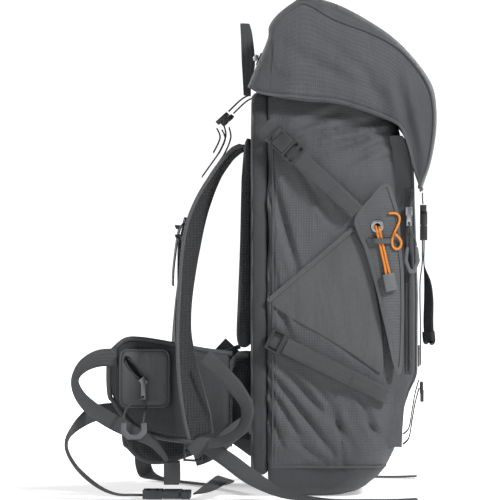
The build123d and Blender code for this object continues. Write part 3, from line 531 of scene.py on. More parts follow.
# %% Creases
def press(spot, creases):
    """How far the creases push a point in. Each is (y, z, y, z, depth, width) from end to end."""
    y, z = spot
    total = 0.0
    for y0, z0, y1, z1, deep, wide in creases:
        run = Vector((y1 - y0, z1 - z0))
        rel = Vector((y - y0, z - z0))
        t = rel.dot(run) / run.length_squared
        if -0.15 < t < 1.15:
            off = (rel - run * t).length / wide
            if off < 3.2:
                ends = max(0.0, math.sin(math.pi * min(max((t + 0.15) / 1.3, 0), 1)))
                total += deep * ends * (math.exp(-off * off) - 0.45 * math.exp(-((off - 1.6) ** 2) * 1.6))
    return total


SIDE_CREASES = [
    (32, 438, -44, 470, 3.0, 5), (22, 430, -100, 458, 3.2, 5), (-10, 418, -112, 446, 3.0, 5),
    (-50, 406, -106, 434, 2.6, 5), (-60, 394, -110, 414, 2.0, 4), (50, 400, 44, 350, 2.2, 4),
    (52, 380, 50, 300, 1.8, 3), (38, 250, -60, 170, 1.4, 5), (54, 420, 20, 300, 2.6, 6),
    (48, 380, 6, 250, 2.2, 5), (54, 330, 30, 200, 1.8, 5), (10, 400, -30, 330, 2.0, 6),
    (56, 162, -31, 52, 3.2, 4.4), (52, 140, 8, 68, 2.8, 4), (44, 168, -36, 84, 3.0, 5),
    (-33, 112, -44, 34, 1.8, 2.6), (-62, 122, -84, 70, 2.4, 4.4), (-8, 142, -52, 60, 2.2, 5),
    (54, 116, 30, 58, 2.2, 3.6), (20, 70, -20, 42, 1.8, 4),
    (54, 265, 20, 190, 1.6, 5), (-60, 100, -98, 66, 1.8, 4), (24, 176, -60, 140, 1.8, 5)]

BAG_LEVELS = [  # z, half width, back, front
    (0, 100, 44, -42), (4, 108, 46, -56), (10, 114, 48, -68), (26, 121.5, 49.6, -86), (38, 125, 49.8, -95),
    (62, 128.6, 50, -105), (100, 129.6, 50, -111.6), (250, 130.4, 50, -111.6), (390, 129.6, 50, -111.6),
    (440, 124, 50, -110), (465, 116, 50, -99), (487, 108, 50, -80)]


REAR_ROUND, FRONT_ROUND = 5.0, 38.0


def rounded_ring(half, back, front, z):
    """A level ring round the bag, starting at the middle of its back."""
    ring = []
    corners = [(half - REAR_ROUND, back - REAR_ROUND, REAR_ROUND, 90),
               (half - FRONT_ROUND, front + FRONT_ROUND, FRONT_ROUND, 0),
               (-half + FRONT_ROUND, front + FRONT_ROUND, FRONT_ROUND, -90),
               (-half + REAR_ROUND, back - REAR_ROUND, REAR_ROUND, -180)]
    for cx, cy, r, start in corners:
        for k in range(13):
            a = math.radians(start - 90 * k / 12)
            ring.append(Vector((cx + r * math.cos(a), cy + r * math.sin(a), z)))
    out = []
    for a, b in zip(ring, ring[1:] + ring[:1]):
        pieces = max(1, round((b - a).length / 4.0))
        out += [a.lerp(b, k / pieces) for k in range(pieces)]
    return out


def even_ring(ring, count):
    """The same ring with a fixed number of points."""
    lengths = [0.0]
    for a, b in zip(ring, ring[1:] + ring[:1]):
        lengths.append(lengths[-1] + (b - a).length)
    out, i = [], 0
    for k in range(count):
        due = lengths[-1] * k / count
        while lengths[i + 1] < due:
            i += 1
        t = (due - lengths[i]) / max(lengths[i + 1] - lengths[i], 1e-9)
        out.append(ring[i].lerp(ring[(i + 1) % len(ring)], t))
    return out


def bag_rings():
    rings = []
    for z in [0, 1.5, 4, 7] + list(range(11, 488, 4)) + [487]:
        half, back, front = lookup(BAG_LEVELS, z)
        ring = even_ring(rounded_ring(half, back, front, z), 200)
        centre = Vector((0, (back + front) / 2, z))
        moved = []
        for p in ring:
            out = Vector((p.x - centre.x, p.y - centre.y, 0)).normalized()
            swell = lump(p.x * 0.02, p.y * 0.024, p.z * 0.016) * 1.6
            side = max(0.0, (abs(p.x) - 90) / 40)
            shift = 9 if p.x > 0 else 0
            deep = press((p.y + shift, p.z - shift), SIDE_CREASES) * side if z > 8 else 0
            seam = 1.6 * math.exp(-((z - 38) / 2.2) ** 2) + 1.2 * math.exp(-((z - 441) / 2.2) ** 2)
            moved.append(p - out * (max(deep * 1.7, -1.6) - min(swell, 1.0) * min(1, z / 30) + seam))
        rings.append(moved)
    return rings


# The top band and cap of the bag, under the lid, take the near-black lining as painted shade of the bag's inside.
bag = loft("bag_shell", bag_rings(), "bag", [SIDE, BASE, LINING_AND_SHADE],
           paint=lambda c: 1 if c.z < 37 else (2 if c.z > 484 else 0))
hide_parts("bottom_panel", "side_panel_left", "side_panel_right", "front_panel", "back_panel", "collar")
print("bag shell", len(bag.data.polygons), "faces")

# %% Seams of the bag
for side, x in SIDES.items():
    rear = [(x * 129.4, 44, 40), (x * 130.6, 43, 120), (x * 131, 43, 250), (x * 130.6, 43, 380),
            (x * 124.5, 43, 440)]
    seam = tube(f"rear_seam_{side}", rear, 1.2, "bag", SIDE)
    stitches(f"rear_seam_stitches_{side}", [(p[0] + x * 0.9, p[1] - 5, p[2]) for p in rear], (x, 0, 0), "bag",
             THREAD)
    hem = [(x * 123.4, 40, 36.5), (x * 125.4, 6, 36.5), (x * 125.4, -45, 36.5), (x * 118, -78, 36.5),
           (x * 96, -93, 36.5)]
    tube(f"base_seam_{side}", hem, 1.2, "bag", EDGE)

# %% [markdown]
# ## The framed back
# Behind the bag a boxed sleeve holds the frame sheet and two stays. Foam pads sit on it. The pads are real
# padded fabric, so a short cloth simulation with a little pressure rounds them, with a limit on how far any
# point may travel. The remesh comes first, because the CAD pads are plain solids.

# %% Padded pieces by simulation
def plumped(node, name, body, material, cap=4.0, voxel=5.0):
    """A padded copy of a CAD node: remeshed, blown up slightly, and limited in travel."""
    source = bpy.data.objects[node]
    pad = bpy.data.objects.new(name, source.data.copy())
    pad.matrix_world = source.matrix_world
    bpy.context.scene.collection.objects.link(pad)
    pad.data.materials.clear()
    pad.data.materials.append(material)
    select_only(pad)
    bpy.ops.object.mode_set(mode="EDIT")
    bpy.ops.mesh.select_all(action="SELECT")
    bpy.ops.mesh.remove_doubles(threshold=0.00001)
    bpy.ops.object.mode_set(mode="OBJECT")
    modify(pad, "REMESH", mode="VOXEL", voxel_size=voxel * 0.001)
    start = [v.co.copy() for v in pad.data.vertices]
    puff = pad.modifiers.new("puff", "CLOTH")
    puff.settings.quality = 4
    puff.settings.use_pressure = True
    puff.settings.uniform_pressure_force = 4.0
    puff.settings.effector_weights.gravity = 0.0
    scene = bpy.context.scene
    for step in range(1, 17):
        scene.frame_set(step)
    shown = pad.evaluated_get(bpy.context.evaluated_depsgraph_get())
    ends = [v.co.copy() for v in shown.data.vertices]
    pad.modifiers.remove(puff)
    scene.frame_set(1)
    for vertex, a, b in zip(pad.data.vertices, start, ends):
        move = b - a
        limit = cap * 0.001
        vertex.co = a + (move if move.length < limit else move.normalized() * limit)
    modify(pad, "SMOOTH", factor=0.5, iterations=5)
    modify(pad, "SUBSURF", levels=1, render_levels=1)
    bpy.ops.object.shade_smooth()
    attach(pad, body)
    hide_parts(node)
    return pad


plumped("back_pad", "back_pads", "bag", MESH, 2.5)
plumped("lumbar_pad", "lumbar_cushion", "bag", MESH, 3.0)


# %% The sleeve that holds the frame
def box_ring(x, y0, y1, z, r=4.0):
    """A level rounded rectangle from -x to x and y0 to y1."""
    ring = []
    for cx, cy, a0 in ((x - r, y1 - r, 0), (-x + r, y1 - r, 90), (-x + r, y0 + r, 180), (x - r, y0 + r, 270)):
        for k in range(5):
            a = math.radians(a0 + 90 * k / 4)
            ring.append(Vector((cx + r * math.cos(a), cy + r * math.sin(a), z)))
    return ring


sleeve_levels = [(26, 112, 54, 66), (29, 120, 50.5, 69.4), (36, 124, 49.8, 70), (60, 127.4, 49.8, 70),
                 (390, 127.4, 49.8, 70),
                 (440, 123, 49.8, 70), (474, 112, 49.8, 70), (484, 108, 50.5, 69.4), (488, 100, 54, 66)]
sleeve_rings = []
for z in [26, 27, 29, 32, 36] + list(range(44, 474, 10)) + [474, 478, 481, 484, 486, 488]:
    x, y0, y1 = lookup(sleeve_levels, z)
    ring = even_ring(box_ring(x, y0, y1, z, min(7.0, (y1 - y0) / 2 - 0.5)), 160)
    sleeve_rings.append([p + Vector((math.copysign(lump(p.y * 0.05, p.z * 0.07, 4) - 0.3, p.x), 0, 0)) * 2.6
                         for p in ring])
sleeve = loft("frame_pocket", sleeve_rings, "bag", HARNESS)
stand_in("frame_sleeve", "side_fabric", sleeve)
for side, x in SIDES.items():
    tube(f"sleeve_binding_{side}", [(x * 121, 67.6, 34), (x * 125, 67.8, 60), (x * 125, 67.8, 260),
                                    (x * 125, 67.8, 390),
                                    (x * 120.6, 67.8, 440), (x * 109, 67.8, 476)], 1.5, "bag", EDGE)

# %% Frame sheet and stays keep their CAD shape
for node, finish, slot_name in (("frame_sheet", SHEET, "sheet_plastic"), ("frame_stays", STAY, "stay_metal")):
    piece = bpy.data.objects[node]
    piece.data.materials.clear()
    piece.data.materials.append(finish)

# %% [markdown]
# ## Hard pieces
# Buckles, ladder locks, sliders and grips were drawn in CAD at their true size. A copy of each is welded,
# its flat faces are merged and its edges get a small round, as on a moulded part.

# %% Rounded copies of CAD pieces
def rounded_copy(node, name, body, material, round_mm=0.5, keep=None):
    """A welded copy of a CAD node with softened edges. `keep` chooses solids by a point inside their box."""
    source = bpy.data.objects[node]
    bm = bmesh.new()
    bm.from_mesh(source.data)
    bm.transform(source.matrix_world)
    bmesh.ops.remove_doubles(bm, verts=bm.verts, dist=0.00001)
    if keep:
        left = set(bm.verts)
        while left:
            group, front = set(), [next(iter(left))]
            while front:
                vertex = front.pop()
                if vertex not in group:
                    group.add(vertex)
                    front += [e.other_vert(vertex) for e in vertex.link_edges]
            left -= group
            low = [min(v.co[i] for v in group) * 1000 for i in range(3)]
            high = [max(v.co[i] for v in group) * 1000 for i in range(3)]
            if not any(all(low[i] - 0.5 <= p[i] <= high[i] + 0.5 for i in range(3)) for p in keep):
                bmesh.ops.delete(bm, geom=list(group), context="VERTS")
    bmesh.ops.dissolve_limit(bm, angle_limit=math.radians(1), verts=bm.verts, edges=bm.edges)
    sharp = [e for e in bm.edges if len(e.link_faces) == 2 and e.calc_face_angle(0) > math.radians(35)]
    bmesh.ops.bevel(bm, geom=sharp, offset=round_mm * 0.001, segments=2, profile=0.5, affect="EDGES",
                    clamp_overlap=True)
    bmesh.ops.scale(bm, vec=(1000, 1000, 1000), verts=bm.verts)
    piece = finish_mesh(name, bm, body, material, 40)
    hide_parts(node)
    return piece


HARD = [  # node, body, finish, rounding
    ("side_buckle_sockets", "bag", BUCKLE, 0.7), ("lower_ladders", "bag", BUCKLE, 0.6),
    ("side_buckle_plug_left", "side_buckle_plug_left", BUCKLE, 0.5),
    ("side_buckle_plug_right", "side_buckle_plug_right", BUCKLE, 0.5),
    ("lid_buckle_socket", "lid_strap", BUCKLE, 0.7), ("lid_buckle_plug", "lid_buckle_plug", BUCKLE, 0.5),
    ("hip_buckle_socket", "bag", BUCKLE, 0.8), ("hip_buckle_plug", "hip_buckle_plug", BUCKLE, 0.6),
    ("front_zip_grip", "front_zip_slider", GRIP, 0.9), ("hip_zip_grip", "hip_zip_slider_left", GRIP, 0.9),
    ("cord_tab", "bag", GRIP, 2.2), ("wing_eyelets", "bag", METAL, 0.3),
    ("front_zip_slider", "front_zip_slider", METAL, 0.4), ("lid_zip_slider", "lid_zip_slider", METAL, 0.4),
    ("hip_zip_slider_left", "hip_zip_slider_left", GUNMETAL, 0.5),
    ("hip_zip_slider_right", "hip_zip_slider_right", GUNMETAL, 0.5)]
for node, body, finish, size in HARD:
    rounded_copy(node, f"{node}_moulded", body, finish, size)
print(len(HARD), "hard pieces")

# %% [markdown]
# ## Flat panels
# A sewn panel is drawn by its outline in side view, filled with rings that shrink towards a middle point,
# and laid on a curved surface. The rings let it bulge, and the outline's corners are rounded as cloth is cut.

# %% Panels from outlines
def soft_outline(points, cut=0.25, steps=5):
    """A closed outline with its corners rounded."""
    out = []
    count = len(points)
    for i in range(count):
        before, here, after = (Vector(points[(i + k) % count]) for k in (-1, 0, 1))
        a, b = here.lerp(before, cut), here.lerp(after, cut)
        for k in range(steps + 1):
            t = k / steps
            out.append(a.lerp(here, t).lerp(here.lerp(b, t), t))
    filled = []
    for a, b in zip(out, out[1:] + out[:1]):
        pieces = max(1, round((b - a).length / 5))
        filled += [a.lerp(b, k / pieces) for k in range(pieces)]
    return filled


def flat_map(piece):
    """Re-map a panel's UV to its side view, so that its weave runs level."""
    layer = piece.data.uv_layers.active.data
    for loop in piece.data.loops:
        co = piece.data.vertices[loop.vertex_index].co
        layer[loop.index].uv = (co.y, co.z)


def panel(name, outline, middle, surface, rise, thick, body, material):
    """A closed panel: `surface(y, z, lift)` gives a point, `rise(s, y, z)` its bulge at share s of the outline.

    Returns the piece and its rounded outline."""
    outline = soft_outline(outline)
    hub = Vector(middle)
    rings = [[surface(p.x, p.y, 0) for p in outline], [surface(p.x, p.y, thick * 0.6) for p in outline]]
    for s in (0.985, 0.96, 0.92, 0.87, 0.8, 0.72, 0.63, 0.54, 0.45, 0.36, 0.27, 0.18, 0.09):
        ring = []
        for p in outline:
            q = hub.lerp(p, s)
            ring.append(surface(q.x, q.y, thick + rise(s, q.x, q.y)))
        rings.append(ring)
    piece = loft(name, rings, body, material)
    flat_map(piece)
    return piece, outline


def outline_band(name, outline, middle, surface, width, lift, body, material, inset=2.6):
    """A narrow binding laid along a panel's outline."""
    hub = Vector(middle)
    rim = outline + [outline[0]]
    rows = [p + (hub - p).normalized() * inset for p in rim]
    spreads = []
    for p in rim:
        a, b = surface(p.x, p.y, 0), surface(*(p + (hub - p).normalized() * 6), 0)
        spreads.append(Vector(b) - Vector(a))
    return band(name, [surface(p.x, p.y, lift) for p in rows], spreads, width, body, material, 1.1, steps=1)


# %% Stretch pockets and tool holder panels
WING_OUT, WING_BEND = 138.4, 44


def wing_x(y, lift=0.0):
    """X of the tool holder panel's outer face, wrapped round the front corner."""
    start = -85.0
    if y >= start:
        return WING_OUT + lift
    return WING_OUT - WING_BEND + math.sqrt((WING_BEND + lift) ** 2 - (start - y) ** 2)


KEEPER_ARCH = [(-103, 3.0), (-98, 5.2), (-93, 8.0), (-86, 8.4), (-80, 8.0), (-76, 5.2), (-71, 3.0)]  # y, lift
EYELET = (-83, 327)  # y, z
WING_MIDDLE = (-92, 300)  # y, z
POCKET_TOP = [(50, 239), (20, 264.6), (-10, 290), (-40, 315.8), (-52, 326)]
POCKET_OUTLINE = [(50, 239), (-52, 326), (-74, 290), (-89, 200), (-91, 146), (-45, 178), (40, 228)]
WING_OUTLINE = [(-95, 384), (-53, 338), (-68, 299), (-84, 248), (-96, 198), (-103, 164), (-109, 146),
                (-112, 160),
                (-114, 222), (-114, 279), (-108, 344)]
for side, x in SIDES.items():
    pocket, rim = panel(f"stretch_pocket_{side}", POCKET_OUTLINE, (-46, 240),
                        lambda y, z, lift, x=x: (x * (130.3 + lift), y, z),
                        lambda s, y, z: 2.6 * (1 - s ** 3) + lump(y * 0.03, z * 0.03, 5) * 0.7,
                        1.0, "bag", STRETCH)
    stand_in("side_pockets", "stretch_fabric", pocket)
    hem = band(f"pocket_hem_{side}", [(x * 134.0, y - 1.5, z - 2.2) for y, z in POCKET_TOP], (0, 0.64, 0.76),
               6,
               "bag", EDGE, 1.2)
    stitches(f"pocket_hem_stitches_{side}", [(x * 134.7, y - 2.6, z - 3.4) for y, z in POCKET_TOP], (x, 0, 0),
             "bag", THREAD)

    def laid(y, z, lift, x=x):
        return (x * wing_x(y, lift - 2.6), y, z)

    wing, rim = panel(f"tool_panel_{side}", WING_OUTLINE, WING_MIDDLE, laid, lambda s, y, z: 0.0, 2.2, "bag",
                      PANEL)
    bpy.ops.mesh.primitive_cube_add(size=1, location=(x * WING_OUT * 0.001, -0.087, 0.311))
    slot_cutter = bpy.context.active_object
    slot_cutter.scale = (0.03, 0.026, 0.0034)
    bpy.ops.mesh.primitive_cylinder_add(radius=0.0052, depth=0.04, vertices=32, rotation=(0, math.pi / 2, 0),
                                        location=Vector((x * WING_OUT, *EYELET)) * 0.001)
    for cutter in (slot_cutter, bpy.context.active_object):
        modify(wing, "BOOLEAN", object=cutter, solver="EXACT")
        bpy.data.objects.remove(cutter)
    stand_in(f"tool_wing_{side}", "wing_fabric", wing)
    trim = outline_band(f"tool_panel_trim_{side}", rim, WING_MIDDLE, laid, 5.0, 2.75, "bag", EDGE)
    for k, z in enumerate((313.9, 308.1)):
        tube(f"slot_hem_{side}_{k}", [laid(y, z, 2.8) for y in range(-101, -72, 7)], 0.75, "bag", EDGE)
    keeper = [laid(y, 309.4, lift) for y, lift in KEEPER_ARCH]
    keeper = band(f"cord_keeper_{side}", keeper, (0, 0.1, 1), 6.5, "bag", EDGE, 1.2)
print("panels done")

# %% [markdown]
# ## Front pocket and its zip
# The outer pocket is a smooth box of cloth. Its left flank carries a coil zip. The teeth are small blocks,
# placed one by one along the tape.

# %% Front pocket
POCKET_DEPTH = [(60, 0.2), (78, 0.9), (90, 1.6), (107, 3.0), (128, 9.4), (141, 16.4), (150, 18.8),
                (240, 19.3), (300, 17.4), (360, 15.4),
                (400, 14.0), (418, 11.6), (430, 5.0), (436, 0.4)]


def pocket_ring(z, half=114.0):
    """A level ring round the pocket: back flat on the bag, front rounded at its two corners."""
    depth = lookup(POCKET_DEPTH, z)[0]
    r = min(7.0, depth * 0.6)
    front = -112.4 - depth
    width, _, face = lookup(BAG_LEVELS, z)
    turn = width - FRONT_ROUND
    rear = [(x, face + FRONT_ROUND - math.sqrt(FRONT_ROUND ** 2 - min(FRONT_ROUND - 0.1,
                                                                      max(0, x - turn)) ** 2))
            for x in (turn, 100, 106, 110, half)]
    ring = [(x, y + 1.0, z) for x, y in rear]
    for k in range(7):
        a = math.pi / 2 * k / 6
        ring.append((half - r + r * math.cos(a), front + r - r * math.sin(a), z))
    for k in range(1, 40):
        x = (half - r) * (1 - 2 * k / 40)
        swell = lump(x * 0.016, z * 0.014, 3) * min(1.3, depth * 0.1)
        ring.append((x, front + max(swell, -0.4), z))
    for k in range(7):
        a = math.pi / 2 * (1 - k / 6)
        ring.append((-half + r - r * math.cos(a), front + r - r * math.sin(a), z))
    return ring + [(-x, y + 1.0, z) for x, y in rear[::-1]]


pocket = loft("outer_pocket", [pocket_ring(z) for z in range(60, 437, 4)], "bag", SMOOTH)
stand_in("front_pocket", "pocket_fabric", pocket)
for side, x in SIDES.items():
    tube(f"pocket_piping_{side}", [(x * 112.6, -112.4 - lookup(POCKET_DEPTH, z)[0] + 1.6,
                                    z) for z in range(112, 424, 12)],
         1.1, "bag", EDGE)


# %% Zips: tape and teeth
def zip_teeth(name, start, end, out, across, body, material, pitch=2.2):
    """Coil teeth between two points, alternating left and right."""
    start, end = Vector(start), Vector(end)
    out, across = Vector(out).normalized(), Vector(across).normalized()
    along = (end - start).normalized()
    bm = bmesh.new()
    for k in range(int((end - start).length / pitch)):
        centre = start + along * (pitch * (k + 0.5)) + across * (0.55 if k % 2 else -0.55)
        deep, wide, high = along * 0.7, across * 1.1, out * 0.65
        add_block(bm, [centre + deep * a + wide * b - high for a, b in SQUARE],
                  [centre + deep * a * 0.6 + wide * b * 0.75 + high for a, b in SQUARE])
    return finish_mesh(name, bm, body, material)


tape = band("front_zip_tape", [(-114.9, -121, z) for z in range(150, 373, 37)], (0, 1, 0), 9, "bag", WEBBING,
            1.0)
teeth = zip_teeth("front_zip_teeth", (-116.0, -121, 151), (-116.0, -121, 371), (-1, 0, 0), (0, 1, 0), "bag",
                  BUCKLE)
stand_in("front_zip", "zip_tape", tape, teeth)

LEAN = math.atan2(16, 38)


def on_lid_rear(x, up, lift):
    return (x, 66 - up * math.sin(LEAN) + lift * math.cos(LEAN),
            514 + up * math.cos(LEAN) + lift * math.sin(LEAN))


rear_up = (0, -math.sin(LEAN), math.cos(LEAN))
tape = band("lid_zip_tape", [on_lid_rear(x, 16, 1.5) for x in range(-102, 103, 34)], rear_up, 16, "lid",
            WEBBING, 1.0)
teeth = zip_teeth("lid_zip_teeth", on_lid_rear(-100, 16, 2.6), on_lid_rear(100, 16, 2.6),
                  (0, math.cos(LEAN), math.sin(LEAN)), rear_up, "lid", BUCKLE)
stand_in("lid_zip", "zip_tape", tape, teeth)

# %% [markdown]
# ## The lid
# The lid is one shell. A line over the crown (the silhouette), a piping line just inside the side panel's top
# edge, and the side panel's hem are drawn point for point. Columns run across the pack between them.

# %% Lid lines
CROWN = [(74, 495), (66, 514), (50, 552), (48, 568), (38, 582), (20, 596), (4, 603), (-35, 594), (-81, 569),
         (-111, 546),
         (-137, 516), (-150, 493), (-154, 466), (-153, 436), (-147, 403), (-138, 376), (-136, 369)]
PIPING = [(70, 493), (62, 512), (47, 548), (45, 564), (35, 577), (18, 590), (2, 595), (-32, 576), (-74, 560),
          (-108, 541),
          (-133, 514), (-146, 490), (-150.5, 465), (-149.5, 436), (-144, 403), (-135, 378), (-134, 371)]
HEM = [(66, 490), (50, 485), (38, 482), (34, 481), (28, 480), (18, 479), (0, 476.5), (-34, 474), (-66, 465),
       (-88, 457),
       (-102, 451), (-110, 445), (-116, 434), (-122, 415), (-127, 398), (-133, 380), (-133, 373)]
LID_CREASES = [(44, 552, -52, 501, 2.8, 6), (5, 570, -69, 513, 2.4, 6), (44, 512, 6, 495, 2.6, 4),
               (-60, 516, -108, 452, 1.6, 8),
               (-104, 516, -131, 398, 3.2, 7), (-20, 515, -90, 482, 1.4, 6), (41, 578, 47, 498, 1.6, 1.4),
               (30, 536, 0, 524, 1.6, 5), (-30, 560, -90, 524, 1.4, 6)]
TOP_CREASES = [(-80, 90, -20, 170, 2.2, 9), (60, 80, 10, 180, 2.4, 9), (-110, 150, -60, 230, 2.0, 8),
               (100, 130, 70, 240, 2.2, 8),
               (-30, 200, 30, 260, 2.0, 9), (0, 60, 60, 40, 1.8, 8), (-90, 250, -30, 300, 2.2, 8),
               (80, 270, 20, 310, 2.2, 8)]


def on_line(line, t):
    i = min(int(t), len(line) - 2)
    return Vector(between(line, i, t - i))


LID_HALF, LID_ROUND = 134.0, 20.0


def lid_point(column, t):
    """column runs 0 to 1 from the left hem, over the crown, to the right hem."""
    side = -1 if column < 0.5 else 1
    c = 1 - abs(2 * column - 1)  # 0 at a hem, 1 on the middle line
    if c < 0.2:
        share = c / 0.2
        yz = on_line(HEM, t).lerp(on_line(PIPING, t), share)
        bulge = 2.2 * math.sin(math.pi * share) * min(1, t / 2)
        shift = 8 if side > 0 else 0
        deep = press((yz.x + shift, yz.y - shift), LID_CREASES)
        return Vector((side * (LID_HALF + bulge - deep * 1.5 * math.sin(math.pi * min(share + 0.12, 1))),
                       yz.x, yz.y))
    if c < 0.3:
        a = math.pi / 2 * (c - 0.2) / 0.1
        yz = on_line(PIPING, t).lerp(on_line(CROWN, t), math.sin(a))
        return Vector((side * (LID_HALF - LID_ROUND * (1 - math.cos(a))), yz.x, yz.y))
    x = side * (LID_HALF - LID_ROUND) * (1 - c) / 0.7
    yz, ahead = on_line(CROWN, t), on_line(CROWN, min(t + 0.05, 15.99))
    run = (ahead - yz).normalized() if (ahead - yz).length > 0 else Vector((0, -1))
    outward = Vector((-run.y, run.x)) * -1
    fade = min(1, (1 - abs(x) / 116) * 3)
    deep = press((x, t * 24), TOP_CREASES) + lump(x * 0.02, yz.x * 0.02, yz.y * 0.02) * 1.6
    yz = yz + outward * -abs(deep * 1.2) * fade * (0.3 if abs(x) < 8 else 1)
    return Vector((x, yz.x, yz.y))


def lid_column(column, rows=110):
    c = 1 - abs(2 * column - 1)
    x = LID_HALF if c < 0.3 else (LID_HALF - LID_ROUND) * (1 - c) / 0.7
    reach = min(x / LID_HALF, 1)
    end = 16 - 0.4 * reach * reach
    return [lid_point(column, end * k / rows) for k in range(rows + 1)]


columns = [k / 150 for k in range(151)]
lid = loft("lid_shell", [lid_column(c) for c in columns], "lid", LID, closed=False)
thicken(lid, 1.8)
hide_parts("lid_top", "lid_sides")


# %% Lid seams, hem and underside
for side, x in SIDES.items():
    column = 0.1 if side == "left" else 0.9
    seam = [lid_point(column, 0.2 + 15.2 * k / 64) for k in range(65)]
    tube(f"lid_piping_{side}", [(p.x + x * 0.5, p.y, p.z) for p in seam], 1.5, "lid", EDGE, steps=2)
    hem_line = [lid_point(0.004 if side == "left" else 0.996, 0.3 + 14.9 * k / 54) for k in range(55)]
    inner = [lid_point(0.02 if side == "left" else 0.98, 0.3 + 14.9 * k / 54) for k in range(55)]
    spreads = [b - a for a, b in zip(hem_line, inner)]
    hem = band(f"lid_hem_{side}", [(p.x + x * 0.9, p.y, p.z) for p in hem_line], spreads, 3.6, "lid", LID,
               1.5, steps=1)
tip = [lid_column(c)[-1] for c in [k / 60 for k in range(7, 54)]]
tube("lid_tip_hem", [(p.x, p.y - 0.6, p.z + 1.4) for p in tip], 1.6, "lid", EDGE, steps=1)
# The lining under the lid is near-black, which partly paints the shade under the lid.
under = [[(x, y, z + 1.2) for x in range(-130, 131, 10)] for y,
         z in smooth([(64, 507), (0, 503), (-70, 499), (-128, 494)], 6)]
under = loft("lid_lining", under, "lid", LINING_AND_SHADE, closed=False)
thicken(under, 1.6, 0)
stand_in("lid_inner", "lid_fabric", under)
print("lid", len(lid.data.polygons), "faces")

# %% [markdown]
# ## Webbing on the bag
# Straps are flat bands. Their lines, widths and lifts above the cloth match the CAD model, so that each
# buckle still slides on its own webbing.

# %% Compression straps
def line_point(start, end, distance):
    reach = math.hypot(end[0] - start[0], end[1] - start[1])
    return tuple(a + (b - a) * distance / reach for a, b in zip(start, end))


UPPER, LOWER = ((50, 446), (-59, 344)), ((49, 194), (-98, 122))
RUNS = [  # name, line, stations along it with the lift from the middle plane
    ("upper_anchor", UPPER, [(-4, 140.2), (0, 141.4), (5, 142), (9.4, 142)]),
    ("upper_run", UPPER, [(39.6, 141.9), (66, 141.9), (100, 142.2), (128, 142.0), (142, 141.2),
                          (149, 140.2)]),
    ("upper_tail", UPPER, [(39.6, 144.1), (58, 144.2), (76, 145.4), (94, 145.0), (108, 146.2)]),
    ("lower_run", LOWER, [(2, 138.6), (24, 138.7), (70, 138.9), (110, 138.9), (140, 138.6), (156, 136.6),
                          (163, 132.0)]),
    ("lower_tail", LOWER, [(24, 140.8), (46, 141.0), (70, 142.4), (92, 141.8), (112, 143.0)])]
for side, x in SIDES.items():
    for name, (start, end), stations in RUNS:
        run = Vector((0, end[0] - start[0], end[1] - start[1])).normalized()
        points = [(x * lift, *line_point(start, end, at)) for at, lift in stations]
        wide = (0, -run.z, run.y)
        strap = band(f"{name}_{side}", points, wide, 20, "bag", WEBBING)
        stand_in(f"side_straps_{side}", "webbing", strap)
        if name in ("upper_run", "lower_run"):
            for shift in (-7, 0, 7):
                row = [Vector((x * (lift + 1.0), *line_point(start, end, at))) + Vector(wide) * shift
                       for at, lift in stations[-3:]]
                stitches(f"{name}_tack_{side}_{shift}", row, (x, 0, 0), "bag", THREAD)

# %% Front strap, lid strap, haul loop and tool loops
pieces = [
    ("front_strap_foot", [(0, -133.2, 152), (0, -133.2, 178)], 20, 2.2, "bag", "front_strap"),
    ("front_strap_run", [(0, -135.4, 154), (0, -135.2, 200), (0, -134.6, 254), (0, -137.4, 282),
                         (0, -137.4, 322.4)],
     20, 1.6, "bag", "front_strap"),
    ("lid_strap_web", [(0, -137.6, 367.2), (0, -137.6, 360), (0, -138.2, 352.8)], [20, 18, 18], 1.6,
     "lid_strap", "lid_strap")]
for name, points, width, thick, body, node in pieces:
    strap = band(name, points, (1, 0, 0), width, body, WEBBING, thick)
    stand_in(node, "webbing", strap)
tail = band("front_strap_tail", [(0, -139.6, 322.4), (0, -139.6, 300), (0, -139.6, 278), (0, -144, 256),
                                 (0, -145.4, 234),
                                 (0, -145, 208), (0, -146, 184)],
            [(1, 0, 0), (1, 0, 0), (1, 0, 0), (0.9, 0.4, 0), (0.8, 0.55, 0), (0.8, 0.6, 0), (0.8, 0.6, 0)],
            20, "bag", WEBBING)
fold = band("front_strap_fold", [(0, -146.4, 196), (0, -147.4, 184), (0, -144.6, 183), (0, -143.6, 195)],
            (0.8, 0.6, 0), 20.4,
            "bag", WEBBING, 1.4)
stand_in("front_strap", "webbing", tail, fold)
half_loop = [(-24, 79.4, 487), (-22, 79.6, 506), (-18, 78, 527), (-10, 80, 560), (-4, 82, 574)]
loop = band("grab_loop", half_loop + [(-x, y, z) for x, y, z in half_loop[::-1]], (0, 1, 0.05),
            [7, 9, 15, 14, 12, 12, 14, 15, 9, 7], "haul_loop", WEBBING, 2.2)
stand_in("haul_loop", "webbing", loop)
for side, x in SIDES.items():
    spot = x * 90
    plate = band(f"tool_loop_patch_{side}", [(spot, -111.4, 62), (spot, -111.4, 76)], (1, 0, 0), 18, "bag",
                 WEBBING, 2.0)
    strap = band(f"tool_loop_web_{side}", [(spot, -113.8, 62), (spot, -121, 70), (spot, -125, 92),
                                           (spot, -128.5, 112),
                                           (spot, -133.2, 130)], (1, 0, 0), 20, "bag", WEBBING)
    keeper = rounded_copy("tool_loops", f"tool_keeper_{side}", "bag", BUCKLE, 0.6, [(spot, -136.8, 121)])
    stand_in("tool_loops", "webbing", plate, strap, keeper)

# %% [markdown]
# ## Shoulder harness
# A padded strap is a flat cushion: cloth outside, spacer mesh towards the wearer, bound along both edges.
# The right-hand strap is the mirror image, hung a little further out about the point where it is sewn on.

# %% Hanging the right side
HANG = math.radians(6.5)
SEWN_ON = (83, 424)  # y, z


def hung_direction(direction, side):
    x, y, z = direction
    if side == "left":
        return (x, y, z)
    return (-x, y * math.cos(HANG) - z * math.sin(HANG), y * math.sin(HANG) + z * math.cos(HANG))


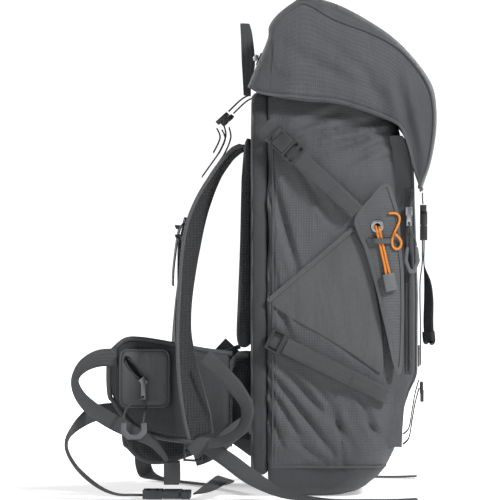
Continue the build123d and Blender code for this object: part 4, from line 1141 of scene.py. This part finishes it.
def hung(point, side):
    x, y, z = point
    if side == "left":
        return (x, y, z)
    x, y, z = hung_direction((x, y - SEWN_ON[0], z - SEWN_ON[1]), side)
    return (x, y + SEWN_ON[0], z + SEWN_ON[1])


# %% Shoulder straps
SHOULDER = [  # x, y, z, turn, width
    (-60, 83, 424, 0, 56), (-61, 94, 417, 2, 56), (-66, 109, 397, 6, 56), (-76, 125, 366, 12, 56),
    (-92, 137, 332, 16, 56), (-112, 144, 296, 15, 56), (-134, 148, 250, 11, 56), (-150, 149, 205, 12, 53.8),
    (-157, 145, 163, 22, 50.4), (-158, 139, 128, 34, 47), (-158, 133, 100, 44, 43.7),
    (-157, 128.5, 76, 50, 37)]
STRAP_SIDES = 28
for side in SIDES:
    rings, edges = [], ([], [])
    rows = smooth(SHOULDER, 9)
    places = [hung(row[:3], side) for row in rows]
    for i, (*_, turn, width) in enumerate(rows):
        centre = Vector(places[i])
        tangent = heading(places, i)
        spread = Vector(hung_direction((math.cos(math.radians(turn)), -math.sin(math.radians(turn)), 0),
                                       side))
        spread = square_to(spread, tangent)
        normal = tangent.cross(spread)
        if normal.y > 0:
            normal = -normal
        end = min(1, min(i, len(rows) - 1 - i) / 3 + 0.35)
        ring = []
        for k in range(STRAP_SIDES):
            a = 2 * math.pi * k / STRAP_SIDES
            u = math.copysign(abs(math.cos(a)) ** 0.45, math.cos(a)) * (width / 2 - 1.6)
            v = math.copysign(abs(math.sin(a)) ** 0.7, math.sin(a)) * 4.4 * end
            swell = lump(u * 0.05, i * 0.16, 7 if side == "left" else 9) * 0.7
            ring.append(centre + spread * u + normal * (v + (swell if abs(u) < width * 0.4 else 0)))
        rings.append(ring)
        for edge, sign in zip(edges, (-1, 1)):
            edge.append(centre + spread * (sign * (width / 2 - 1.4)))
    strap = loft(f"shoulder_pad_{side}", rings, f"shoulder_{side}", [HARNESS, MESH])
    for face in strap.data.polygons[:(len(rings) - 1) * STRAP_SIDES]:
        if face.index % STRAP_SIDES < STRAP_SIDES // 2:
            face.material_index = 1
    stand_in(f"shoulder_strap_{side}", "side_fabric", strap)
    for name, edge in zip(("inner", "outer"), edges):
        tube(f"shoulder_binding_{name}_{side}", edge, 2.3, f"shoulder_{side}", EDGE, steps=1)
    away = Vector(hung_direction((0.1, 0.98, 0.1), side)) * 5.2
    daisy = band(f"shoulder_web_{side}", [Vector(p) + away for p in places[14:76:6]],
                 hung_direction((1, -0.1, 0), side), 18,
                 f"shoulder_{side}", WEBBING, 1.4, steps=5)
    stand_in(f"shoulder_strap_{side}", "webbing", daisy)

# %% Ladder locks, chest strap and load lifters
for side, x in SIDES.items():
    body = f"shoulder_{side}"
    tab = band(f"ladder_tab_{side}", [hung(p, side) for p in ((-159.0, 130.2, 76), (-159.6, 131.2, 71.2),
                                                              (-161.0, 133.4, 66.0))],
               hung_direction((0.4, -0.9, 0), side), 10, body, WEBBING, 2.0)
    lock = rounded_copy(f"strap_ladder_{side}", f"ladder_lock_{side}", body, BUCKLE, 0.8,
                        [hung((-161, 136.5, 55.9), side)])
    stand_in(f"strap_ladder_{side}", "buckle_plastic", tab, lock)
    clip = rounded_copy(f"sternum_strap_{side}", f"chest_clip_{side}", f"sternum_{side}", BUCKLE, 0.7,
                        [hung((-99.6, 150.3, 315.1), side)])
    web = band(f"chest_web_{side}", [hung(p, side) for p in ((-90, 155.6, 316), (-88, 156.2, 314),
                                                             (-84, 158.0, 300),
                                                             (-83, 158.5, 262), (-85, 157, 240))],
               hung_direction((1, -0.2, 0), side), 16, f"sternum_{side}", WEBBING)
    stand_in(f"sternum_strap_{side}", "webbing", clip, web)
    anchor = band(f"lifter_anchor_{side}", [(x * 62, 73, 487), (x * 62, 84, 481), (x * 62, 99.5, 466.4)],
                  (1, 0, 0), 18,
                  "bag", WEBBING)
    lock = rounded_copy("load_lifters", f"lifter_lock_{side}", "bag", BUCKLE, 0.6, [(x * 62, 106.9, 457.8)])
    run = band(f"lifter_run_{side}", [(x * 62, 105, 449), (x * 63, 103, 436), (x * 66, 110, 418),
                                      (x * 70, 122, 400),
                                      (x * 74, 131, 387)], (1, 0, 0), 16, None, WEBBING)
    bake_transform(run)
    tail = band(f"lifter_tail_{side}", [(x * 62, 114, 446), (x * 62, 110, 434), (x * 64, 118, 416)],
                (1, 0, 0), 16, "bag", WEBBING)
    stand_in("load_lifters", "webbing", anchor, lock, run, tail)

# %% Strap adjusters
GUSSET = [(51, 129), (82, 105), (71, 76), (51, 69)]
for side, x in SIDES.items():
    def at(points, x=x):
        return [(-x * a, b, c) for a, b, c in points]

    gusset = loft(f"gusset_{side}", [[(x * reach, y, z) for y, z in GUSSET] for reach in (124.3, 126.1)],
                  "bag", BASE)
    run = band(f"adjuster_run_{side}", at([(-127.4, 77, 88), (-138, 92, 77), (-150, 110, 61), (-154, 124, 53),
                                           (-154.6, 136, 49)]), (0, 0.45, 0.9), 20, None, WEBBING)
    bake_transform(run)
    tail = band(f"adjuster_tail_{side}", at([
        (-166.4, 138, 55), (-168, 124, 65), (-170, 98, 50), (-172, 69, 29), (-174, 40, 13), (-175, 14, 5),
        (-176, -27, 1.4), (-176, -75, 1.2), (-174, -105, 1.4), (-172, -131, 2.4)]),
        at([(0, 0.9, 0.5), (0, 0.55, 0.8), (0, 0.55, 0.8), (0.2, 0.5, 0.8), (0.6, 0.3, 0.6), (0.9, 0.1, 0.3),
            (1, 0, 0),
            (1, 0, 0), (1, 0, 0), (1, 0, 0)]), 20, None, WEBBING)
    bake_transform(tail)
    curl = band(f"adjuster_curl_{side}", at([(-178, 122, 172), (-179, 99, 150), (-179, 82, 131),
                                             (-179, 71, 109),
                                             (-178, 78, 86), (-176, 98, 72), (-174, 118, 68)]),
                at([(0.2, 0.67, -0.73), (0.3, 0.7, -0.7), (0.4, 0.8, -0.4), (0.6, 0.8, 0), (0.75, 0.5, 0.3),
                    (0.85, 0.1, 0.5), (0.85, 0, 0.5)]), 20, f"shoulder_{side}", WEBBING)
    stand_in("strap_adjusters", "webbing", gusset, run, tail, curl)

# %% [markdown]
# ## Hip belt
# Each wing is foam in cloth, so it is plumped by simulation like the back pads. A rolled binding goes round
# its edge, and the belt pocket is a small box of cloth with its zip left open.

# %% Wings
STATIONS = [(93, 60, 174, -99), (130, 62, 179, -101), (178, 68, 188, -104), (205, 78, 192, -107),
            (222, 92, 191, -109),
            (236, 112, 180, -111), (244, 132, 160, -112)]
SAG = {"left": 0.0, "right": 0.5}


def wing_outer(y):
    for (y0, _, _, x0), (y1, _, _, x1) in zip(STATIONS, STATIONS[1:]):
        if y <= y1:
            return x0 + (x1 - x0) * (y - y0) / (y1 - y0) - 6.5
    return STATIONS[-1][3] - 6.5


for side, x in SIDES.items():
    drop = SAG[side]
    cushion = plumped(f"hip_wing_{side}", f"belt_wing_{side}", f"hip_wing_{side}", HARNESS, 2.2, 4.0)
    cushion.data.materials.append(MESH)
    for face in cushion.data.polygons:
        if face.normal.x * x < -0.3:
            face.material_index = 1
    low = [(y, a + 2) for y, a, b, _ in STATIONS]
    high = [(y, b - 2) for y, a, b, _ in STATIONS]
    outline = smooth(low[:-1] + [(241, 122), (242.5, 146), (241, 170)] + high[:-1][::-1], 5)
    edge = [(x * (-wing_outer(y) - 2.6), y, z - drop * (y - 93)) for y, z in outline]
    tube(f"belt_binding_{side}", edge, 3.0, f"hip_wing_{side}", EDGE, steps=1)
    hub = Vector((172, 125))
    inset = [Vector(p).lerp(hub, 0.12) for p in outline]
    stitches(f"belt_stitches_{side}",
             [(x * (-wing_outer(p.x) + 1.2), p.x, p.y - drop * (p.x - 93)) for p in inset],
             (x, 0, 0), f"hip_wing_{side}", THREAD)

# %% Belt pockets
corners = soft_outline([(168, 108), (228, 108), (228, 178), (168, 178)], 0.16)
hub = Vector((198, 143))
slit_a, slit_b = Vector((202.6, 145.1)), Vector((219.4, 165.9))


def from_slit(q):
    """How far a point of the pocket's face is from its open zip."""
    t = max(0, min(1, (q - slit_a).dot(slit_b - slit_a) / (slit_b - slit_a).length_squared))
    return (q - slit_a.lerp(slit_b, t)).length


for side, x in SIDES.items():
    drop = SAG[side]

    def on_pocket(p, lift):
        return (x * (-wing_outer(p.x) + lift), p.x, p.y - drop * (p.x - 93))

    rings = [[on_pocket(p, 0.6) for p in corners]]
    for s, lift in ((1.0, 6.0), (0.985, 9.5), (0.95, 11.8), (0.9, 12.9), (0.84, 13.5)):
        rings.append([on_pocket(hub.lerp(p, s), lift) for p in corners])
    for s in (0.78, 0.72, 0.66, 0.6, 0.54, 0.48, 0.42, 0.36, 0.3, 0.24, 0.18, 0.12, 0.06):
        ring = []
        for p in corners:
            q = hub.lerp(p, s)
            lift = 13.7 - 8.5 * max(0, 1 - from_slit(q) / 4.2)
            ring.append(on_pocket(q, lift + lump(q.x * 0.06, q.y * 0.06, 2) * 0.6))
        rings.append(ring)
    pouch = loft(f"belt_pocket_{side}", rings, f"hip_wing_{side}", [SMOOTH, LINING_AND_SHADE])
    # Faces along the open zip take the near-black lining: painted shade of the pocket's inside.
    for face in pouch.data.polygons:
        spot = face.center * 1000
        q = Vector((spot.y, spot.z + drop * (spot.y - 93)))
        if from_slit(q) < 3.6:
            face.material_index = 1
    stand_in(f"hip_pocket_{side}", "pocket_fabric", pouch)
    run = (slit_b - slit_a).normalized()
    flank = Vector((-run.y, run.x))
    for k, sign in enumerate((-1, 1)):
        lip = [on_pocket(slit_a.lerp(slit_b, t / 4) + flank * sign * (2.2 + 2.0 * math.sin(math.pi * t / 4)),
                         14.0)
               for t in range(5)]
        tube(f"belt_zip_lip_{side}_{k}", lip, 0.9, f"hip_wing_{side}", WEBBING)
    tube(f"belt_pocket_piping_{side}", [on_pocket(hub.lerp(p, 0.985), 11.6) for p in corners + corners[:1]],
         1.1,
         f"hip_wing_{side}", EDGE, steps=1)


# %% Belt webbing
def flared(loop):
    """Width directions from each point's lean: 0 flat against the side, 90 edge on from the side."""
    points = [p[:3] for p in loop]
    spreads = []
    for i, (_, _, _, lean) in enumerate(loop):
        (_, ya, za), (_, yb, zb) = points[max(i - 1, 0)], points[min(i + 1, len(loop) - 1)]
        reach, flat = math.hypot(yb - ya, zb - za), math.cos(math.radians(lean))
        spreads.append((-math.sin(math.radians(lean)), -flat * (zb - za) / reach, flat * (yb - ya) / reach))
    return points, spreads


UPPER_LOOP = [
    (-120.6, 232, 168, 0), (-124, 254, 167, 20), (-131, 272, 158, 50), (-137, 281, 143, 72),
    (-141, 276, 125, 60),
    (-143, 261, 108, 42), (-144, 241, 95, 36), (-147, 222, 85, 40), (-154, 190, 70, 62), (-162, 174, 54, 80),
    (-168, 165, 39, 90)]
LOWER_LOOP = [
    (-98.8, 208, 96, 0), (-99.6, 232, 101, 6), (-110, 258, 100, 30), (-130, 276, 90, 62), (-146, 288, 75, 84),
    (-157, 289, 59, 88), (-164, 279, 41, 88), (-168, 263, 25, 86), (-168, 246, 13, 88)]
points, spreads = flared(UPPER_LOOP)
upper = band("belt_loop_upper", points, spreads, 22, None, WEBBING)
points, spreads = flared(LOWER_LOOP)
lower = band("belt_loop_lower", points + [(-168, 228, 6.4), (-168, 208, 5.7), (-168, 188, 5.7)],
             spreads + [(-1, 0, 0)] * 3, 22, None, WEBBING)
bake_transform(upper)
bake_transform(lower)
keeper = rounded_copy("hip_web_left", "belt_keeper", "bag", BUCKLE, 0.8, [(-168, 162, 20)])
stand_in("hip_web_left", "webbing", upper, lower, keeper)
right = band("belt_web_right", [(-168, 135, 7), (-161, 118, 14), (-140, 104, 22), (-100, 100, 20),
                                (-50, 106, 12), (0, 122, 4),
                                (60, 156, 2), (104, 192, 2.4), (120, 212, 8), (120, 218, 22), (118, 218, 40)],
             [(1, 0, 0), (0.8, 0.5, 0.3), (0.5, 0.8, 0.3), (0, 1, 0.3), (0, 1, 0.1), (0, 1, 0), (0, 1, 0),
              (-0.4, 1, 0),
              (-0.2, 1, 0), (0, 1, 0), (0, 1, 0)], 20, None, WEBBING)
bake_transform(right)
stand_in("hip_web_right", "webbing", right)

# %% [markdown]
# ## Cords
# Each cord follows the CAD route as a smooth NURBS line of its real thickness.
# The two tool cords are orange. The zip pulls hang on thin grey ones.

# %% Cord routes
TAB_LEAN = (-0.216, -0.976)


def on_wing(y, z, lift):
    return (-wing_x(y, lift), y, z)


def tool_cord_point(down, aside, lift):
    """A point of the doubled cord, measured down and across from the eyelet."""
    lean_y, lean_z = TAB_LEAN
    y, z = EYELET
    return on_wing(y + lean_y * down - lean_z * aside, z + lean_z * down + lean_y * aside, lift)


TOOL_ROUTE = [
    (-134.6, -84.9, 326.4), (-141.6, -84.9, 325.4), tool_cord_point(10, -1.8, 3.0),
    tool_cord_point(22, -1.7, 2.2),
    tool_cord_point(36, -1.8, 2.4), tool_cord_point(49, -1.7, 3.2), tool_cord_point(57, -2.0, 4.2),
    tool_cord_point(63, -3.3, 4.2), tool_cord_point(69.5, -3.4, 4.4), tool_cord_point(69.5, 3.4, 4.1),
    tool_cord_point(63, 3.3, 4.2), tool_cord_point(57, 2.0, 4.2), tool_cord_point(48, 1.7, 3.2),
    tool_cord_point(35, 1.8, 2.4), tool_cord_point(21, 1.7, 2.2), tool_cord_point(9.5, 1.8, 3.0),
    (-141.6, -81.1, 326.2), (-134.6, -81.1, 327.2)]
LOOP_ROUTE = [
    on_wing(-97.0, 342.5, 2.4), on_wing(-103.5, 343.5, 2.4), on_wing(-109.4, 340.0, 2.6),
    on_wing(-109.6, 332.5, 2.6),
    on_wing(-106.0, 325.0, 2.4), on_wing(-102.6, 317.5, 2.2), on_wing(-100.4, 310.0, 2.2),
    on_wing(-101.0, 303.0, 2.2),
    on_wing(-105.6, 299.0, 2.6), on_wing(-110.6, 301.5, 3.4), on_wing(-112.0, 308.0, 4.2),
    on_wing(-108.6, 314.0, 5.6),
    on_wing(-104.0, 318.0, 6.0)]
FRONT_ROUTE = [
    (-124.0, -129.8, 302.5), (-124.0, -129.6, 309.0), (-125.1, -123.2, 320.5), (-124.9, -121.0, 331.0),
    (-119.1, -121.0, 331.0), (-118.9, -119.6, 321.0), (-124.0, -119.2, 310.0), (-124.0, -119.0, 302.5)]
PULL_X = wing_outer(199) - 20
HIP_ROUTE = [
    (-166.0, 219.6, 92.4), (-165.5, 220.2, 101.0), (-153.0, 217.6, 109.0), (-140.0, 213.4, 113.4),
    (PULL_X - 4.2, 206.0, 117.4),
    (PULL_X - 3.2, 199, 121), (PULL_X + 3.2, 199, 121), (PULL_X + 2.6, 196.6, 111.0), (-136.0, 195.8, 105.0),
    (-150.0, 195.6, 103.2), (-164.5, 195.8, 100.6), (-166.0, 196.4, 92.4)]


# %% Tubes on NURBS lines
def cord(name, route, diameter, body, material, node):
    curve = bpy.data.curves.new(name, "CURVE")
    curve.dimensions = "3D"
    line = curve.splines.new("NURBS")
    line.points.add(len(route) - 1)
    for point, (px, py, pz) in zip(line.points, route):
        point.co = (px, py, pz, 1)
    line.order_u = 3
    line.use_endpoint_u = True
    line.resolution_u = 10
    holder = bpy.data.objects.new(name + "_line", curve)
    bpy.context.scene.collection.objects.link(holder)
    bpy.context.view_layer.update()
    drawn = bpy.data.meshes.new_from_object(holder)
    path = [tuple(v.co) for v in drawn.vertices]
    bpy.data.objects.remove(holder)
    bpy.data.meshes.remove(drawn)
    piece = tube(name, path, diameter / 2, body, material, steps=1, sides=12)
    stand_in(node, "orange_cord" if material == ORANGE else "grey_cord", piece)
    return piece


cord("tool_cord_line", TOOL_ROUTE, 3.0, "bag", ORANGE, "tool_cord")
cord("tool_cord_spare", LOOP_ROUTE, 3.0, "bag", ORANGE, "tool_cord_loop")
cord("front_zip_pull", FRONT_ROUTE, 1.8, "front_zip_slider", GREY, "front_zip_cord")
cord("hip_zip_pull", HIP_ROUTE, 2.0, "hip_zip_slider_left", GREY, "hip_zip_cord")
